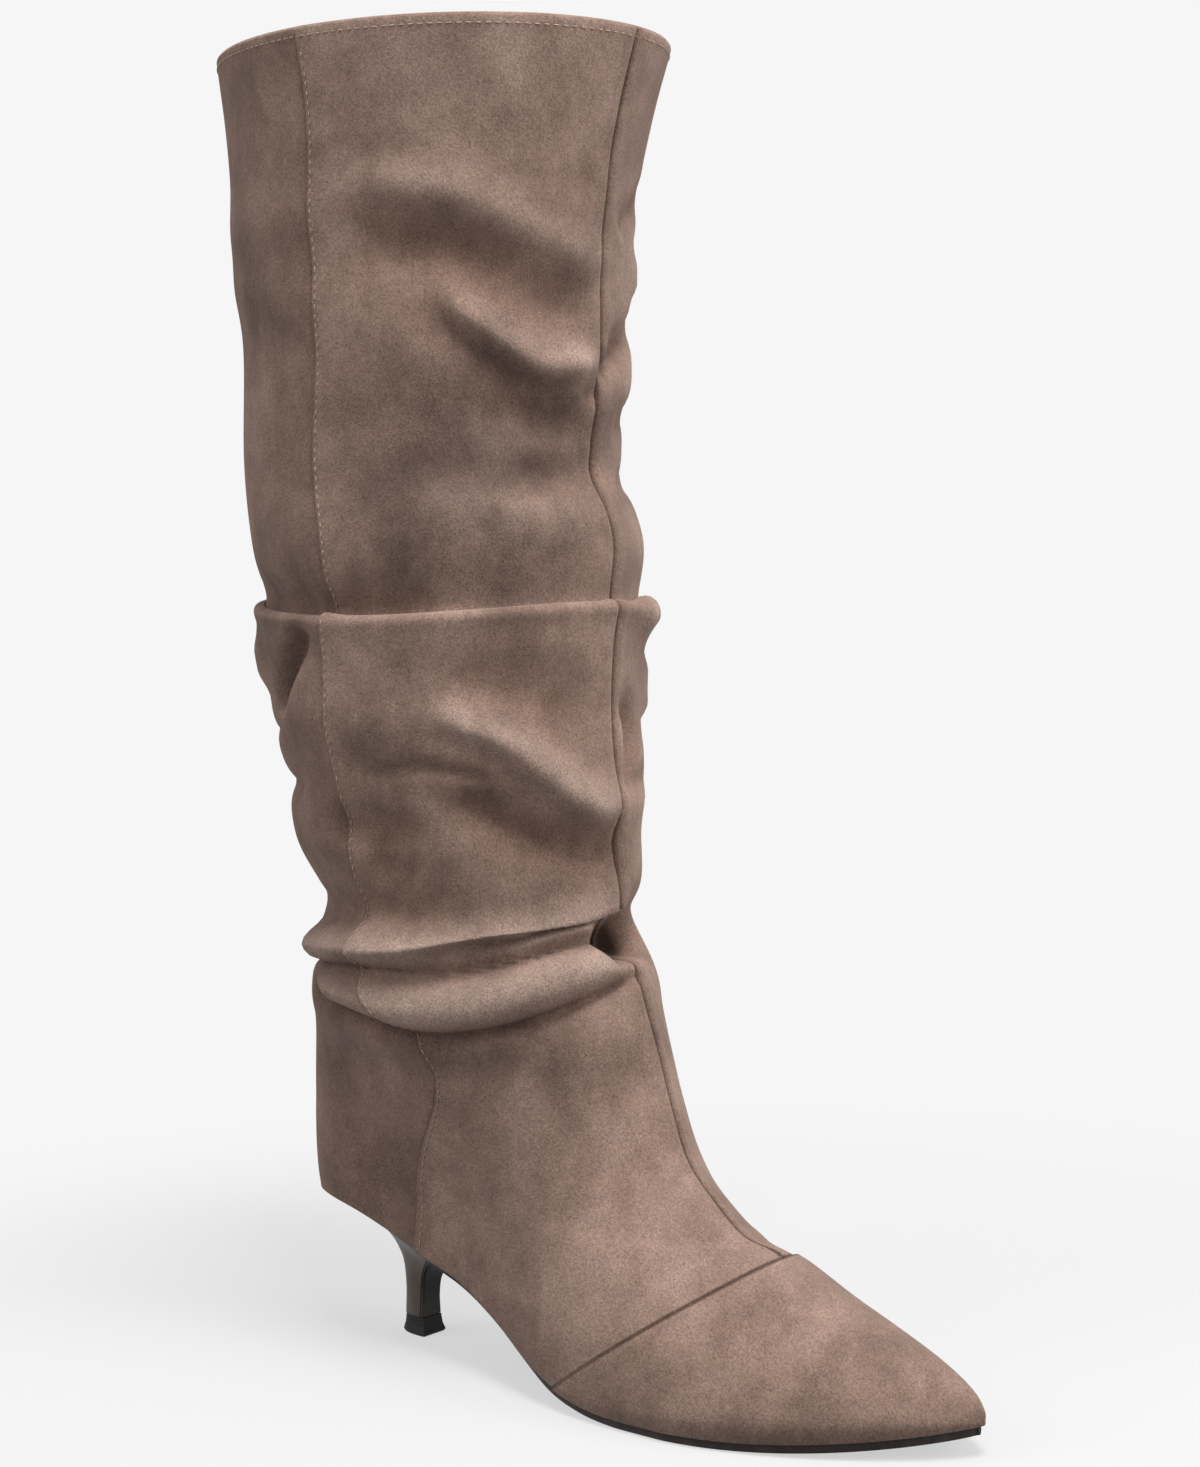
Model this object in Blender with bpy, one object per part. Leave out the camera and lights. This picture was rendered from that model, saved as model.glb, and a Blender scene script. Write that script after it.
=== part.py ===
"""Slouch boot for the right foot: a soft tall shaft, a pointed toe and a slim kitten heel.

Metres, +Z up, toe towards +X, outer side towards -Y. Shapes are worked out in the last's own frame, whose
heel back is at x = 0 and whose toe tip is at x = LAST_LENGTH. An empty then brings the middle of the tread
to the origin.
"""

import math
from collections import namedtuple

import bmesh
import bpy
from mathutils import Vector

# Foot: the last's length, widths and heights.
LAST_LENGTH = 0.2535
BALL_WIDTH = 0.079
SEAT_WIDTH = 0.0490
SEAT_HEIGHT = 0.050
TOE_SPRING = 0.0065
BALL_SWING = 0.0034
TOE_SWING = 0.0026
TREAD_X = 0.170
TREAD_FLAT = 0.012
HEEL_ROUND = 0.63
HEEL_ROUND_POWER = 2.2
TOE_TAPER_POWER = 1.6
TOE_BLUNT_POWER = 0.74

# Shaft: the oval at the ankle and the oval at the collar.
ANKLE_HEIGHT = 0.134
ANKLE_LENGTH = 0.122
ANKLE_WIDTH = 0.090
ANKLE_CENTRE = 0.0665
COLLAR_LENGTH = 0.160
COLLAR_WIDTH = 0.125
COLLAR_CENTRE = 0.0485
BOOT_HEIGHT = 0.429

# Form between the rings. LAP_SHARE: share of a turn at which the mesh's columns fall on the lapped seam.
LAP_SHARE = 0.25
RIDGE_POWER = 4
NARROW_POWER = 1.5
SECTION_POWER = 1.5
SECTION_BULGE = 0.25
SLOPE_ABOVE_RIDGE = 4.0

# Upper: its wall, its folds and the steps at its seams.
WALL = 0.0018
FOLD_DEPTH = 0.0055
FOLD_HEIGHT = 0.010
FIRST_FOLDED_ROW = 5
TUCK_OUT = 0.9
TUCK_DOWN = 0.8
LAP_STEP = 0.0009
LAP_FADE = 0.010
TOE_STEP = 0.0009
TOE_STEP_FADE = 0.012
STEP_RUN = 0.0006
TOE_SEAM_TOP_X = 0.187
TOE_SEAM_TOP_Z = 0.0495
TOE_SEAM_FOOT_X = 0.124
TOE_SEAM_FOOT_Z = 0.005

# Sole, heel and insole.
SOLE_THICKNESS = 0.0028
SHANK_THICKNESS = 0.0020
SHANK_END = 0.15
TREAD_START = 0.92
SOLE_LEDGE = 0.0004
FLAP_THICKNESS = 0.0012
FLAP_THINNED = 0.3
BREAST_X = 0.060
HEEL_BACK_POWER = 0.9
HEEL_AXIS_X = 0.0366
STEM_LENGTH = 0.0094
STEM_WIDTH = 0.0090
TIP_HEIGHT = 0.0062
TIP_FLARE = 0.0011
TIP_FILLET = 0.0007
INSOLE_THICKNESS = 0.0024
INSOLE_HEEL_MARGIN = 0.0045
INSOLE_TOE_MARGIN = 0.012
GAP = 0.0003

# Fineness of the meshes.
ROUND_COLUMNS = 44
SHAFT_ROWS = 25
HEEL_COLUMNS = 24
TUCK_ROWS = 3.6
SWAG_ROWS = 0.8
SHARP_ANGLE = math.radians(50)

# Foot rings, from the feather edge up to the ankle. back: share of LAST_LENGTH. back_rise: share of the way
# from SEAT_HEIGHT to ANKLE_HEIGHT. front: share of the way from the ankle's front to the toe tip. front_rise:
# share of ANKLE_HEIGHT. width: share of ANKLE_WIDTH. shaft: how far the ring has turned from the last's plan
# into the ankle's oval. narrow: how much slimmer the oval is in front. lap: where the lapped side seam
# crosses it, as a share of a turn from the back.
FootRing = namedtuple("FootRing", "back back_rise front front_rise width shaft narrow lap")
FOOT_RINGS = (
    FootRing(0.007, 0.00, 1.000, 0.076, 0.60, 0.00, 0.50, 0.157),
    FootRing(0.003, 0.06, 0.998, 0.102, 0.62, 0.00, 0.50, 0.158),
    FootRing(0.000, 0.13, 0.958, 0.140, 0.66, 0.02, 0.50, 0.162),
    FootRing(-0.002, 0.21, 0.866, 0.190, 0.70, 0.05, 0.50, 0.168),
    FootRing(-0.003, 0.29, 0.742, 0.244, 0.74, 0.10, 0.50, 0.175),
    FootRing(-0.003, 0.37, 0.610, 0.300, 0.78, 0.16, 0.50, 0.185),
    FootRing(-0.003, 0.45, 0.474, 0.366, 0.82, 0.24, 0.50, 0.198),
    FootRing(-0.002, 0.53, 0.362, 0.390, 0.86, 0.34, 0.50, 0.212),
    FootRing(0.000, 0.61, 0.266, 0.460, 0.89, 0.46, 0.48, 0.228),
    FootRing(0.003, 0.69, 0.178, 0.548, 0.92, 0.60, 0.44, 0.246),
    FootRing(0.007, 0.77, 0.124, 0.668, 0.95, 0.74, 0.38, 0.256),
    FootRing(0.012, 0.85, 0.082, 0.786, 0.97, 0.87, 0.30, 0.248),
    FootRing(0.017, 0.93, 0.040, 0.896, 0.98, 0.96, 0.22, 0.218),
)

# Shaft rings, from the ankle up to the collar. Each share runs from the ankle's value, 0, to the collar's, 1.
ShaftRing = namedtuple("ShaftRing", "rise centre length width narrow lap")
SHAFT_RINGS = (
    ShaftRing(0.00, 0.00, -0.05, -0.05, 0.15, 0.203),
    ShaftRing(0.06, 0.20, -0.34, -0.26, 0.10, 0.212),
    ShaftRing(0.13, 0.44, 0.02, 0.12, 0.05, 0.224),
    ShaftRing(0.23, 0.58, 0.08, 0.20, 0.00, 0.224),
    ShaftRing(0.34, 0.82, 0.20, 0.30, 0.00, 0.236),
    ShaftRing(0.45, 0.90, 0.44, 0.53, 0.00, 0.241),
    ShaftRing(0.55, 1.28, 0.33, 0.41, 0.00, 0.245),
    ShaftRing(0.68, 1.18, 0.40, 0.47, 0.00, 0.248),
    ShaftRing(0.81, 1.25, 0.49, 0.57, 0.00, 0.249),
    ShaftRing(0.92, 1.12, 0.74, 0.78, 0.00, 0.248),
    ShaftRing(1.00, 1.00, 1.00, 1.00, 0.00, 0.242),
)

# Folds round the shaft. back, side and front: heights of the crest as shares of BOOT_HEIGHT. crest: how far
# it stands out, as a share of FOLD_DEPTH. droop: how far it hangs. tuck: how far what is below it stands in
# front of what is above it. spread: share of FOLD_HEIGHT.
Fold = namedtuple("Fold", "back side front crest droop tuck spread")
CALF_TUCK = Fold(0.577, 0.573, 0.580, 0.25, 0.00, 1.00, 1.0)
ANKLE_SWAG = Fold(0.325, 0.340, 0.380, 0.70, 0.30, 0.00, 0.9)
FOLDS = (
    Fold(0.872, 0.868, 0.880, 0.25, 0.00, 0.00, 1.1),
    Fold(0.830, 0.800, 0.735, 0.30, 0.00, 0.00, 1.1),
    CALF_TUCK,
    Fold(0.470, 0.495, 0.440, 0.40, 0.10, 0.00, 1.2),
    ANKLE_SWAG,
    Fold(0.290, 0.262, 0.312, 0.80, 0.45, 0.00, 0.9),
)

# Last's plan behind the tread. station: share of the way from the heel back to the tread. half: share of the
# way from half SEAT_WIDTH to half BALL_WIDTH. swing: the middle line's, as a share of BALL_SWING.
Plan = namedtuple("Plan", "station half swing")
PLAN = (
    Plan(0.00, 0.00, 0.00),
    Plan(0.20, 0.00, 0.00),
    Plan(0.36, -0.06, 0.10),
    Plan(0.46, 0.00, 0.25),
    Plan(0.56, 0.20, 0.45),
    Plan(0.74, 0.75, 0.80),
    Plan(0.86, 0.94, 0.95),
    Plan(1.00, 1.00, 1.00),
)

# Height of the feather edge, as a share of the way from SOLE_THICKNESS up to SEAT_HEIGHT, against x as a
# share of TREAD_X.
FEATHER = ((0.00, 1.00), (0.053, 0.995), (0.11, 0.980), (0.176, 0.935), (0.265, 0.825), (0.36, 0.680),
           (0.46, 0.560), (0.56, 0.400), (0.65, 0.235), (0.735, 0.095), (0.82, 0.025), (0.89, 0.003),
           (0.94, 0.00), (1.00, 0.00))

# Heel sections from the seat down to the top piece. drop: share of the way down. back, breast and half run
# from the stem's value, 0, to the seat's, 1. straight: how far the section has turned from the seat's curve
# into a straight slope.
HeelSection = namedtuple("HeelSection", "drop back breast half straight")
HEEL_SECTIONS = (
    HeelSection(0.00, 0.96, 1.00, 0.96, 0.0),
    HeelSection(0.05, 0.80, 0.90, 0.80, 0.3),
    HeelSection(0.12, 0.60, 0.72, 0.58, 0.7),
    HeelSection(0.21, 0.42, 0.50, 0.37, 1.0),
    HeelSection(0.30, 0.27, 0.31, 0.21, 1.0),
    HeelSection(0.40, 0.14, 0.15, 0.10, 1.0),
    HeelSection(0.54, 0.04, 0.04, 0.02, 1.0),
    HeelSection(0.76, 0.00, 0.00, 0.00, 1.0),
    HeelSection(1.00, 0.00, 0.00, 0.02, 1.0),
)


def flow(points, at):
    """Smooth curve through (x, y) points, read at one x."""
    if at <= points[0][0]:
        return points[0][1]
    if at >= points[-1][0]:
        return points[-1][1]
    k = max(i for i, point in enumerate(points) if point[0] <= at)

    def slope(i):
        a = points[max(i - 1, 0)]
        b = points[min(i + 1, len(points) - 1)]
        return (b[1] - a[1]) / (b[0] - a[0])

    (x0, y0), (x1, y1) = points[k], points[k + 1]
    span = x1 - x0
    t = (at - x0) / span
    return (
        y0 * (1 + 2 * t) * (1 - t) ** 2
        + slope(k) * span * t * (1 - t) ** 2
        + y1 * t * t * (3 - 2 * t)
        - slope(k + 1) * span * t * t * (1 - t)
    )


def mix(a, b, t):
    return a + (b - a) * t


def ramp(t):
    t = min(max(t, 0.0), 1.0)
    return t * t * (3 - 2 * t)


def plan_half(x):
    """Half width of the last's feather line at x."""
    if x >= TREAD_X:
        t = min((x - TREAD_X) / (LAST_LENGTH - TREAD_X), 1.0)
        return BALL_WIDTH / 2 * max(1 - t**TOE_TAPER_POWER, 0.0) ** TOE_BLUNT_POWER
    share = flow([(row.station, row.half) for row in PLAN], x / TREAD_X)
    half = mix(SEAT_WIDTH, BALL_WIDTH, share) / 2
    rear = SEAT_WIDTH * HEEL_ROUND
    if x < rear:
        half *= math.sqrt(max(1 - (1 - max(x, 0.0) / rear) ** HEEL_ROUND_POWER, 0.0))
    return half


def plan_swing(x):
    """Sideways place of the last's middle line at x."""
    t = (x - TREAD_X) / (LAST_LENGTH - TREAD_X)
    if t > 0:
        return mix(-BALL_SWING, TOE_SWING, min(t, 1.0) ** TOE_TAPER_POWER)
    return -BALL_SWING * flow([(row.station, row.swing) for row in PLAN], x / TREAD_X)


def feather_height(x):
    """Height of the line where the upper meets the sole."""
    base = SOLE_THICKNESS + GAP
    rise = max(flow(FEATHER, x / TREAD_X), 0.0) * (SEAT_HEIGHT - base)
    lifts = TREAD_X + TREAD_FLAT
    ahead = max(x - lifts, 0.0) / (LAST_LENGTH - lifts)
    return base + rise + TOE_SPRING * ahead**2


def ring_rows():
    """Every ring of the upper as (back x, back z, front x, front z, half width, shaft, narrow, lap)."""
    ankle_front = ANKLE_CENTRE + ANKLE_LENGTH / 2
    rows = []
    for r in FOOT_RINGS:
        rows.append((
            r.back * LAST_LENGTH,
            mix(SEAT_HEIGHT, ANKLE_HEIGHT, r.back_rise),
            mix(ankle_front, LAST_LENGTH, r.front),
            r.front_rise * ANKLE_HEIGHT,
            r.width * ANKLE_WIDTH / 2,
            r.shaft,
            r.narrow,
            r.lap,
        ))
    for r in SHAFT_RINGS:
        centre = mix(ANKLE_CENTRE, COLLAR_CENTRE, r.centre)
        length = mix(ANKLE_LENGTH, COLLAR_LENGTH, r.length)
        width = mix(ANKLE_WIDTH, COLLAR_WIDTH, r.width)
        height = mix(ANKLE_HEIGHT, BOOT_HEIGHT, r.rise)
        rows.append((
            centre - length / 2,
            height,
            centre + length / 2,
            height,
            width / 2,
            1.0,
            r.narrow,
            r.lap,
        ))
    return rows


ROWS = ring_rows()
COLUMNS = [[(float(i), row[c]) for i, row in enumerate(ROWS)] for c in range(len(ROWS[0]))]
ANKLE_ROW = len(FOOT_RINGS)
TOP_ROW = len(ROWS) - 1


def ring(s):
    return [flow(column, s) for column in COLUMNS]


def ridge_height(x):
    """Height of the foot's top line at x."""
    low, high = 1.0, float(ANKLE_ROW)
    if x <= ring(high)[2]:
        return ring(high)[3] + SLOPE_ABOVE_RIDGE * (ring(high)[2] - x)
    for _ in range(30):
        middle = (low + high) / 2
        if ring(middle)[2] > x:
            low = middle
        else:
            high = middle
    return ring(low)[3]


def turned(share, lap):
    """Moves the columns so that the one at LAP_SHARE from the back falls on the lapped seam."""
    side = abs(share)
    if side < LAP_SHARE:
        side = side / LAP_SHARE * lap
    else:
        side = lap + (side - LAP_SHARE) / (0.5 - LAP_SHARE) * (0.5 - lap)
    return math.copysign(side, share)


def skin(s, share):
    """Point of the upper's inner face. share: part of a turn from the back, below 0 on the outer side."""
    back, back_z, front, front_z, half, shaft, narrow, lap = ring(s)
    angle = 2 * math.pi * turned(share, lap)
    along = (1 - math.cos(angle)) / 2
    x = mix(back, front, along)
    z = mix(back_z, front_z, along)
    foot_x = mix(0.0, min(front, LAST_LENGTH), along) if s < ANKLE_ROW else x
    oval = half * abs(math.sin(angle)) * (1 - narrow * along**NARROW_POWER)
    y = oval
    if shaft < 1:
        low = feather_height(x)
        straight = mix(SEAT_HEIGHT, feather_height(LAST_LENGTH), x / LAST_LENGTH)
        z += (low - straight) * (1 - ramp(min(s / ANKLE_ROW, 1.0))) * (1 - along**RIDGE_POWER)
        if s == 0:
            z = low
        high = ridge_height(x)
        h = min(max((z - low) / max(high - low, 1e-6), 0.0), 1.0)
        full = math.sqrt(max(1 - h**SECTION_POWER, 0.0)) * (1 + SECTION_BULGE * h * (1 - h))
        y = mix(plan_half(foot_x) * full, oval, shaft)
    y = math.copysign(y, share) + plan_swing(x) * (1 - shaft)
    return folded(Vector((x, y, z)), s, share)


def folded(point, s, share):
    """Adds the slouch folds to a point of the shaft or instep."""
    angle = 2 * math.pi * share
    centre = Vector((ring(s)[0] + ring(s)[2], 0, 0)) / 2
    out = Vector((point.x - centre.x, point.y, 0))
    if out.length == 0 or s < FIRST_FOLDED_ROW:
        return point
    out.normalize()
    here = point.z
    moved = point.copy()
    for fold in FOLDS:
        mean = (fold.back + fold.front) / 4 + fold.side / 2
        turn = (fold.back - fold.front) / 2
        twice = (fold.back + fold.front) / 4 - fold.side / 2
        crest = BOOT_HEIGHT * (mean + turn * math.cos(angle) + twice * math.cos(2 * angle))
        t = (here - crest) / (FOLD_HEIGHT * fold.spread)
        swell = math.exp(-t * t)
        moved += out * FOLD_DEPTH * (fold.crest - TUCK_OUT * fold.tuck * t) * swell
        moved.z -= FOLD_HEIGHT * (fold.droop + TUCK_DOWN * fold.tuck * t) * swell
    return moved


def row_places():
    """Ring places of the mesh, closer together where the shaft folds over itself."""
    places = [float(i) for i in range(ANKLE_ROW)]
    tuck = BOOT_HEIGHT * CALF_TUCK.side
    swag = BOOT_HEIGHT * ANKLE_SWAG.side
    steps = 400
    dense = [0.0]
    for k in range(steps):
        s = mix(ANKLE_ROW, TOP_ROW, (k + 0.5) / steps)
        z = ring(s)[1]
        rise = ring(s + 0.01)[1] - ring(s - 0.01)[1]
        near = 1 + TUCK_ROWS * math.exp(-(((z - tuck) / FOLD_HEIGHT) ** 2))
        near += SWAG_ROWS * math.exp(-(((z - swag) / (3 * FOLD_HEIGHT)) ** 2))
        dense.append(dense[-1] + near * rise)
    for row in range(SHAFT_ROWS):
        want = dense[-1] * row / (SHAFT_ROWS - 1)
        k = max(i for i, total in enumerate(dense) if total <= want + 1e-12)
        k = min(k, steps - 1)
        part = (want - dense[k]) / (dense[k + 1] - dense[k])
        places.append(mix(ANKLE_ROW, TOP_ROW, (k + part) / steps))
    return places


def column_shares():
    """Shares of a turn for the mesh's columns, with a close pair at each lapped seam."""
    close = STEP_RUN / COLLAR_LENGTH / math.pi
    shares = [(k + 0.5) / ROUND_COLUMNS - 0.5 for k in range(ROUND_COLUMNS)]
    shares = [share for share in shares if abs(abs(share) - LAP_SHARE) > 0.4 / ROUND_COLUMNS]
    for side in (-1, 1):
        shares += [side * (LAP_SHARE - close), side * (LAP_SHARE + close)]
    return sorted(shares)


def lap_lift(share, girth):
    """Thickness that the front panel adds over the back panel, from its edge forwards."""
    ahead = (abs(share) - LAP_SHARE) * girth
    if ahead <= 0:
        return 0.0
    return LAP_STEP * (1 - ramp(ahead / LAP_FADE))


def grid_normals(points):
    """Outward normals of a grid of points that closes round, level along its lowest row."""
    rows = len(points)
    columns = len(points[0])
    normals = []
    for i in range(rows):
        line = []
        for j in range(columns):
            up = points[min(i + 1, rows - 1)][j] - points[max(i - 1, 0)][j]
            across = points[i][(j + 1) % columns] - points[i][j - 1]
            facing = up.cross(across)
            if i == 0:
                facing.z = 0
            line.append(facing.normalized())
        normals.append(line)
    return normals


def material(name, colour, roughness):
    made = bpy.data.materials.new(name)
    made.use_nodes = True
    shader = made.node_tree.nodes["Principled BSDF"]
    shader.inputs["Base Color"].default_value = (*colour, 1)
    shader.inputs["Roughness"].default_value = roughness
    return made


def add_object(name, bm, made, frame):
    bmesh.ops.recalc_face_normals(bm, faces=bm.faces)
    mesh = bpy.data.meshes.new(name)
    bm.to_mesh(mesh)
    bm.free()
    mesh.shade_smooth()
    mesh.set_sharp_from_angle(angle=SHARP_ANGLE)
    mesh.materials.append(made)
    obj = bpy.data.objects.new(name, mesh)
    bpy.context.scene.collection.objects.link(obj)
    obj.parent = frame
    return obj


def bridge(bm, low, high):
    """Band of faces between two closed loops of vertices with as many points each."""
    faces = []
    for j in range(len(low)):
        k = (j + 1) % len(low)
        faces.append(bm.faces.new((low[j], low[k], high[k], high[j])))
    return faces


def cut_toe_seam(bm, faces):
    """Cuts the outer face along the toe seam and lifts the side that laps over the toe piece."""
    foot = Vector((TOE_SEAM_FOOT_X, 0, TOE_SEAM_FOOT_Z))
    top = Vector((TOE_SEAM_TOP_X, 0, TOE_SEAM_TOP_Z))
    run = (top - foot).normalized()
    ahead = Vector((run.z, 0, -run.x))
    bmesh.ops.recalc_face_normals(bm, faces=bm.faces)
    near = [face for face in faces if abs((face.calc_center_median() - foot).dot(ahead)) < 3 * TOE_STEP_FADE]
    near = [face for face in near if face.calc_center_median().z < 2 * TOE_SEAM_TOP_Z]
    for shift in (0.0, STEP_RUN):
        pieces = set(near)
        for face in near:
            pieces.update(face.edges)
            pieces.update(face.verts)
        start = foot + ahead * shift
        cut = bmesh.ops.bisect_plane(bm, geom=list(pieces), dist=1e-6, plane_co=start, plane_no=ahead)
        near = [item for item in cut["geom"] if isinstance(item, bmesh.types.BMFace)]
    bm.normal_update()
    cut_faces = set(near)
    for vert in {vert for face in near for vert in face.verts}:
        behind = -(vert.co - foot).dot(ahead)
        if -STEP_RUN / 2 < behind < TOE_STEP_FADE:
            facing = vert.normal.copy()
            if any(face not in cut_faces for face in vert.link_faces):
                facing.z = 0
            vert.co += facing.normalized() * TOE_STEP * (1 - ramp(behind / TOE_STEP_FADE))


def make_upper(frame):
    """One wall, open at the collar and underneath, with steps at the toe seam and the lapped seams."""
    shares = column_shares()
    points = [[skin(s, share) for share in shares] for s in row_places()]
    normals = grid_normals(points)
    bm = bmesh.new()
    outer = []
    inner = []
    for line, facing in zip(points, normals):
        girth = sum((line[j] - line[j - 1]).length for j in range(len(line)))
        lifts = [lap_lift(share, girth) for share in shares]
        inner.append([bm.verts.new(p) for p in line])
        outer.append([bm.verts.new(p + n * (WALL + lift)) for p, n, lift in zip(line, facing, lifts)])
    outer_faces = []
    for low, high in zip(outer, outer[1:]):
        outer_faces += bridge(bm, low, high)
    for low, high in zip(inner, inner[1:]):
        bridge(bm, high, low)
    bridge(bm, inner[0], outer[0])
    bridge(bm, outer[-1], inner[-1])
    cut_toe_seam(bm, outer_faces)
    return add_object("upper", bm, material("suede", (0.19, 0.13, 0.10), 0.9), frame)


def strip(bm, stations):
    """Closed slab from stations of (face point, back point, half width), each as wide across as the other."""
    loops = []
    for face, back, half in stations:
        side = Vector((0, half, 0))
        loops.append([bm.verts.new(p) for p in (face - side, face + side, back + side, back - side)])
    for low, high in zip(loops, loops[1:]):
        bridge(bm, low, high)
    bm.faces.new(loops[0])
    bm.faces.new(loops[-1])


def heel_section(row):
    """One heel section as (back x, breast x, half width)."""
    stem_back = HEEL_AXIS_X - STEM_LENGTH / 2
    stem_breast = HEEL_AXIS_X + STEM_LENGTH / 2
    return (
        mix(stem_back, FOOT_RINGS[0].back * LAST_LENGTH, row.back),
        mix(stem_breast, BREAST_X, row.breast),
        mix(STEM_WIDTH / 2, plan_half(BREAST_X), row.half),
    )


def heel_height(row, x):
    """Height of a heel section at x."""
    back, breast, _ = heel_section(row)
    slope = mix(feather_height(back), feather_height(BREAST_X), (x - back) / (breast - back))
    seat = mix(feather_height(x), slope, row.straight) - GAP
    return mix(seat, TIP_HEIGHT + GAP, row.drop)


def d_shape(back, breast, half, count):
    """Rounded back and flat breast, as (x, y) points all the way round."""
    points = []
    for k in range(count + 1):
        angle = math.pi * (k / count - 0.5)
        along = math.cos(angle)
        across = math.copysign(abs(math.sin(angle)) ** HEEL_BACK_POWER, angle)
        points.append((mix(breast, back, along), half * across))
    return points


def feather_stations():
    """Places along the boot of the upper's lowest points, which the sole and insole share."""
    places = [skin(0.0, share).x for share in column_shares() if share > 0]
    return sorted(places)


def make_outsole(frame):
    """Thin unit from the toe to the heel, which turns down over the breast as a flap."""
    stations = []
    start = BREAST_X + 2 * SHANK_THICKNESS
    places = [x for x in feather_stations() if x > start + GAP]
    for x in [start] + places + [LAST_LENGTH + SOLE_LEDGE]:
        share = (x - BREAST_X) / (TREAD_X - BREAST_X)
        thickened = ramp((share - SHANK_END) / (TREAD_START - SHANK_END))
        thick = mix(SHANK_THICKNESS, SOLE_THICKNESS, thickened)
        top = feather_height(x) - GAP
        half = max(plan_half(min(x, LAST_LENGTH)) + SOLE_LEDGE, 2 * SOLE_LEDGE)
        middle = plan_swing(x)
        stations.append((Vector((x, middle, top - thick)), Vector((x, middle, top)), half))
    stations.reverse()
    breasts = [heel_section(row)[1] for row in HEEL_SECTIONS]
    line = [Vector((x, 0, heel_height(row, x))) for x, row in zip(breasts, HEEL_SECTIONS)]
    for k, row in enumerate(HEEL_SECTIONS):
        run = line[min(k + 1, len(line) - 1)] - line[max(k - 1, 0)]
        facing = Vector((-run.z, 0, run.x)).normalized()
        if k == len(line) - 1:
            facing = Vector((1, 0, 0))
        middle = Vector((0, plan_swing(BREAST_X) * row.half, 0))
        inside = line[k] + middle + facing * GAP
        thick = mix(FLAP_THICKNESS, SHANK_THICKNESS, max(1 - row.drop / FLAP_THINNED, 0))
        stations.append((inside + facing * thick, inside, heel_section(row)[2]))
    bm = bmesh.new()
    strip(bm, stations)
    return add_object("outsole", bm, material("resin_sole", (0.012, 0.010, 0.010), 0.35), frame)


def make_heel(frame):
    """Slim stem that spreads into the cup under the seat."""
    bm = bmesh.new()
    loops = []
    for row in HEEL_SECTIONS:
        back, breast, half = heel_section(row)
        middle = plan_swing(BREAST_X) * row.half
        loops.append([
            bm.verts.new((x, y + middle, heel_height(row, x)))
            for x, y in d_shape(back, breast, half, HEEL_COLUMNS)
        ])
    for low, high in zip(loops, loops[1:]):
        bridge(bm, low, high)
    bm.faces.new(loops[0])
    bm.faces.new(loops[-1])
    bmesh.ops.triangulate(bm, faces=[face for face in bm.faces if len(face.verts) > 4])
    return add_object("heel", bm, material("lacquer", (0.12, 0.10, 0.09), 0.3), frame)


def make_heel_tip(frame):
    """Top piece that meets the floor, as wide as the heel and its flap together."""
    back = HEEL_AXIS_X - STEM_LENGTH / 2
    breast = HEEL_AXIS_X + STEM_LENGTH / 2 + GAP + FLAP_THICKNESS
    levels = (
        (TIP_HEIGHT, 0.0),
        (TIP_HEIGHT / 2, TIP_FLARE / 3),
        (TIP_FILLET, TIP_FLARE),
        (0.0, TIP_FLARE / 2),
    )
    bm = bmesh.new()
    loops = []
    for height, flare in levels:
        outline = d_shape(back - flare, breast + flare, STEM_WIDTH / 2 + flare, HEEL_COLUMNS)
        loops.append([bm.verts.new((x, y, height)) for x, y in outline])
    for low, high in zip(loops, loops[1:]):
        bridge(bm, low, high)
    bm.faces.new(loops[0])
    bm.faces.new(loops[-1])
    return add_object("heel_tip", bm, material("rubber_top_piece", (0.02, 0.02, 0.02), 0.6), frame)


def make_insole(frame):
    """Board and sock on the sole, inside the wall's lower edge."""
    start = INSOLE_HEEL_MARGIN
    end = LAST_LENGTH - INSOLE_TOE_MARGIN
    stations = []
    places = [x for x in feather_stations() if start + GAP < x < end - GAP]
    for x in [start] + places + [end]:
        share = (x - start) / (end - start)
        half = max(plan_half(share * LAST_LENGTH) - WALL - 3 * GAP, 2 * GAP)
        low = Vector((x, plan_swing(x), feather_height(x)))
        stations.append((low, low + Vector((0, 0, INSOLE_THICKNESS)), half))
    bm = bmesh.new()
    strip(bm, stations)
    return add_object("insole", bm, material("sock_lining", (0.45, 0.36, 0.28), 0.8), frame)


def build():
    for obj in list(bpy.data.objects):
        bpy.data.objects.remove(obj)
    frame = bpy.data.objects.new("boot", None)
    bpy.context.scene.collection.objects.link(frame)
    make_upper(frame)
    make_insole(frame)
    make_outsole(frame)
    make_heel(frame)
    make_heel_tip(frame)
    frame.location.x = -TREAD_X


build()
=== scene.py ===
"""Slouch boot for the right foot, dressed: taupe suede, dark sole and a slim lacquered heel.

Metres, +Z up, toe towards +X, outer side towards -Y, the middle of the tread at the origin.
"""

import math

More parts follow.
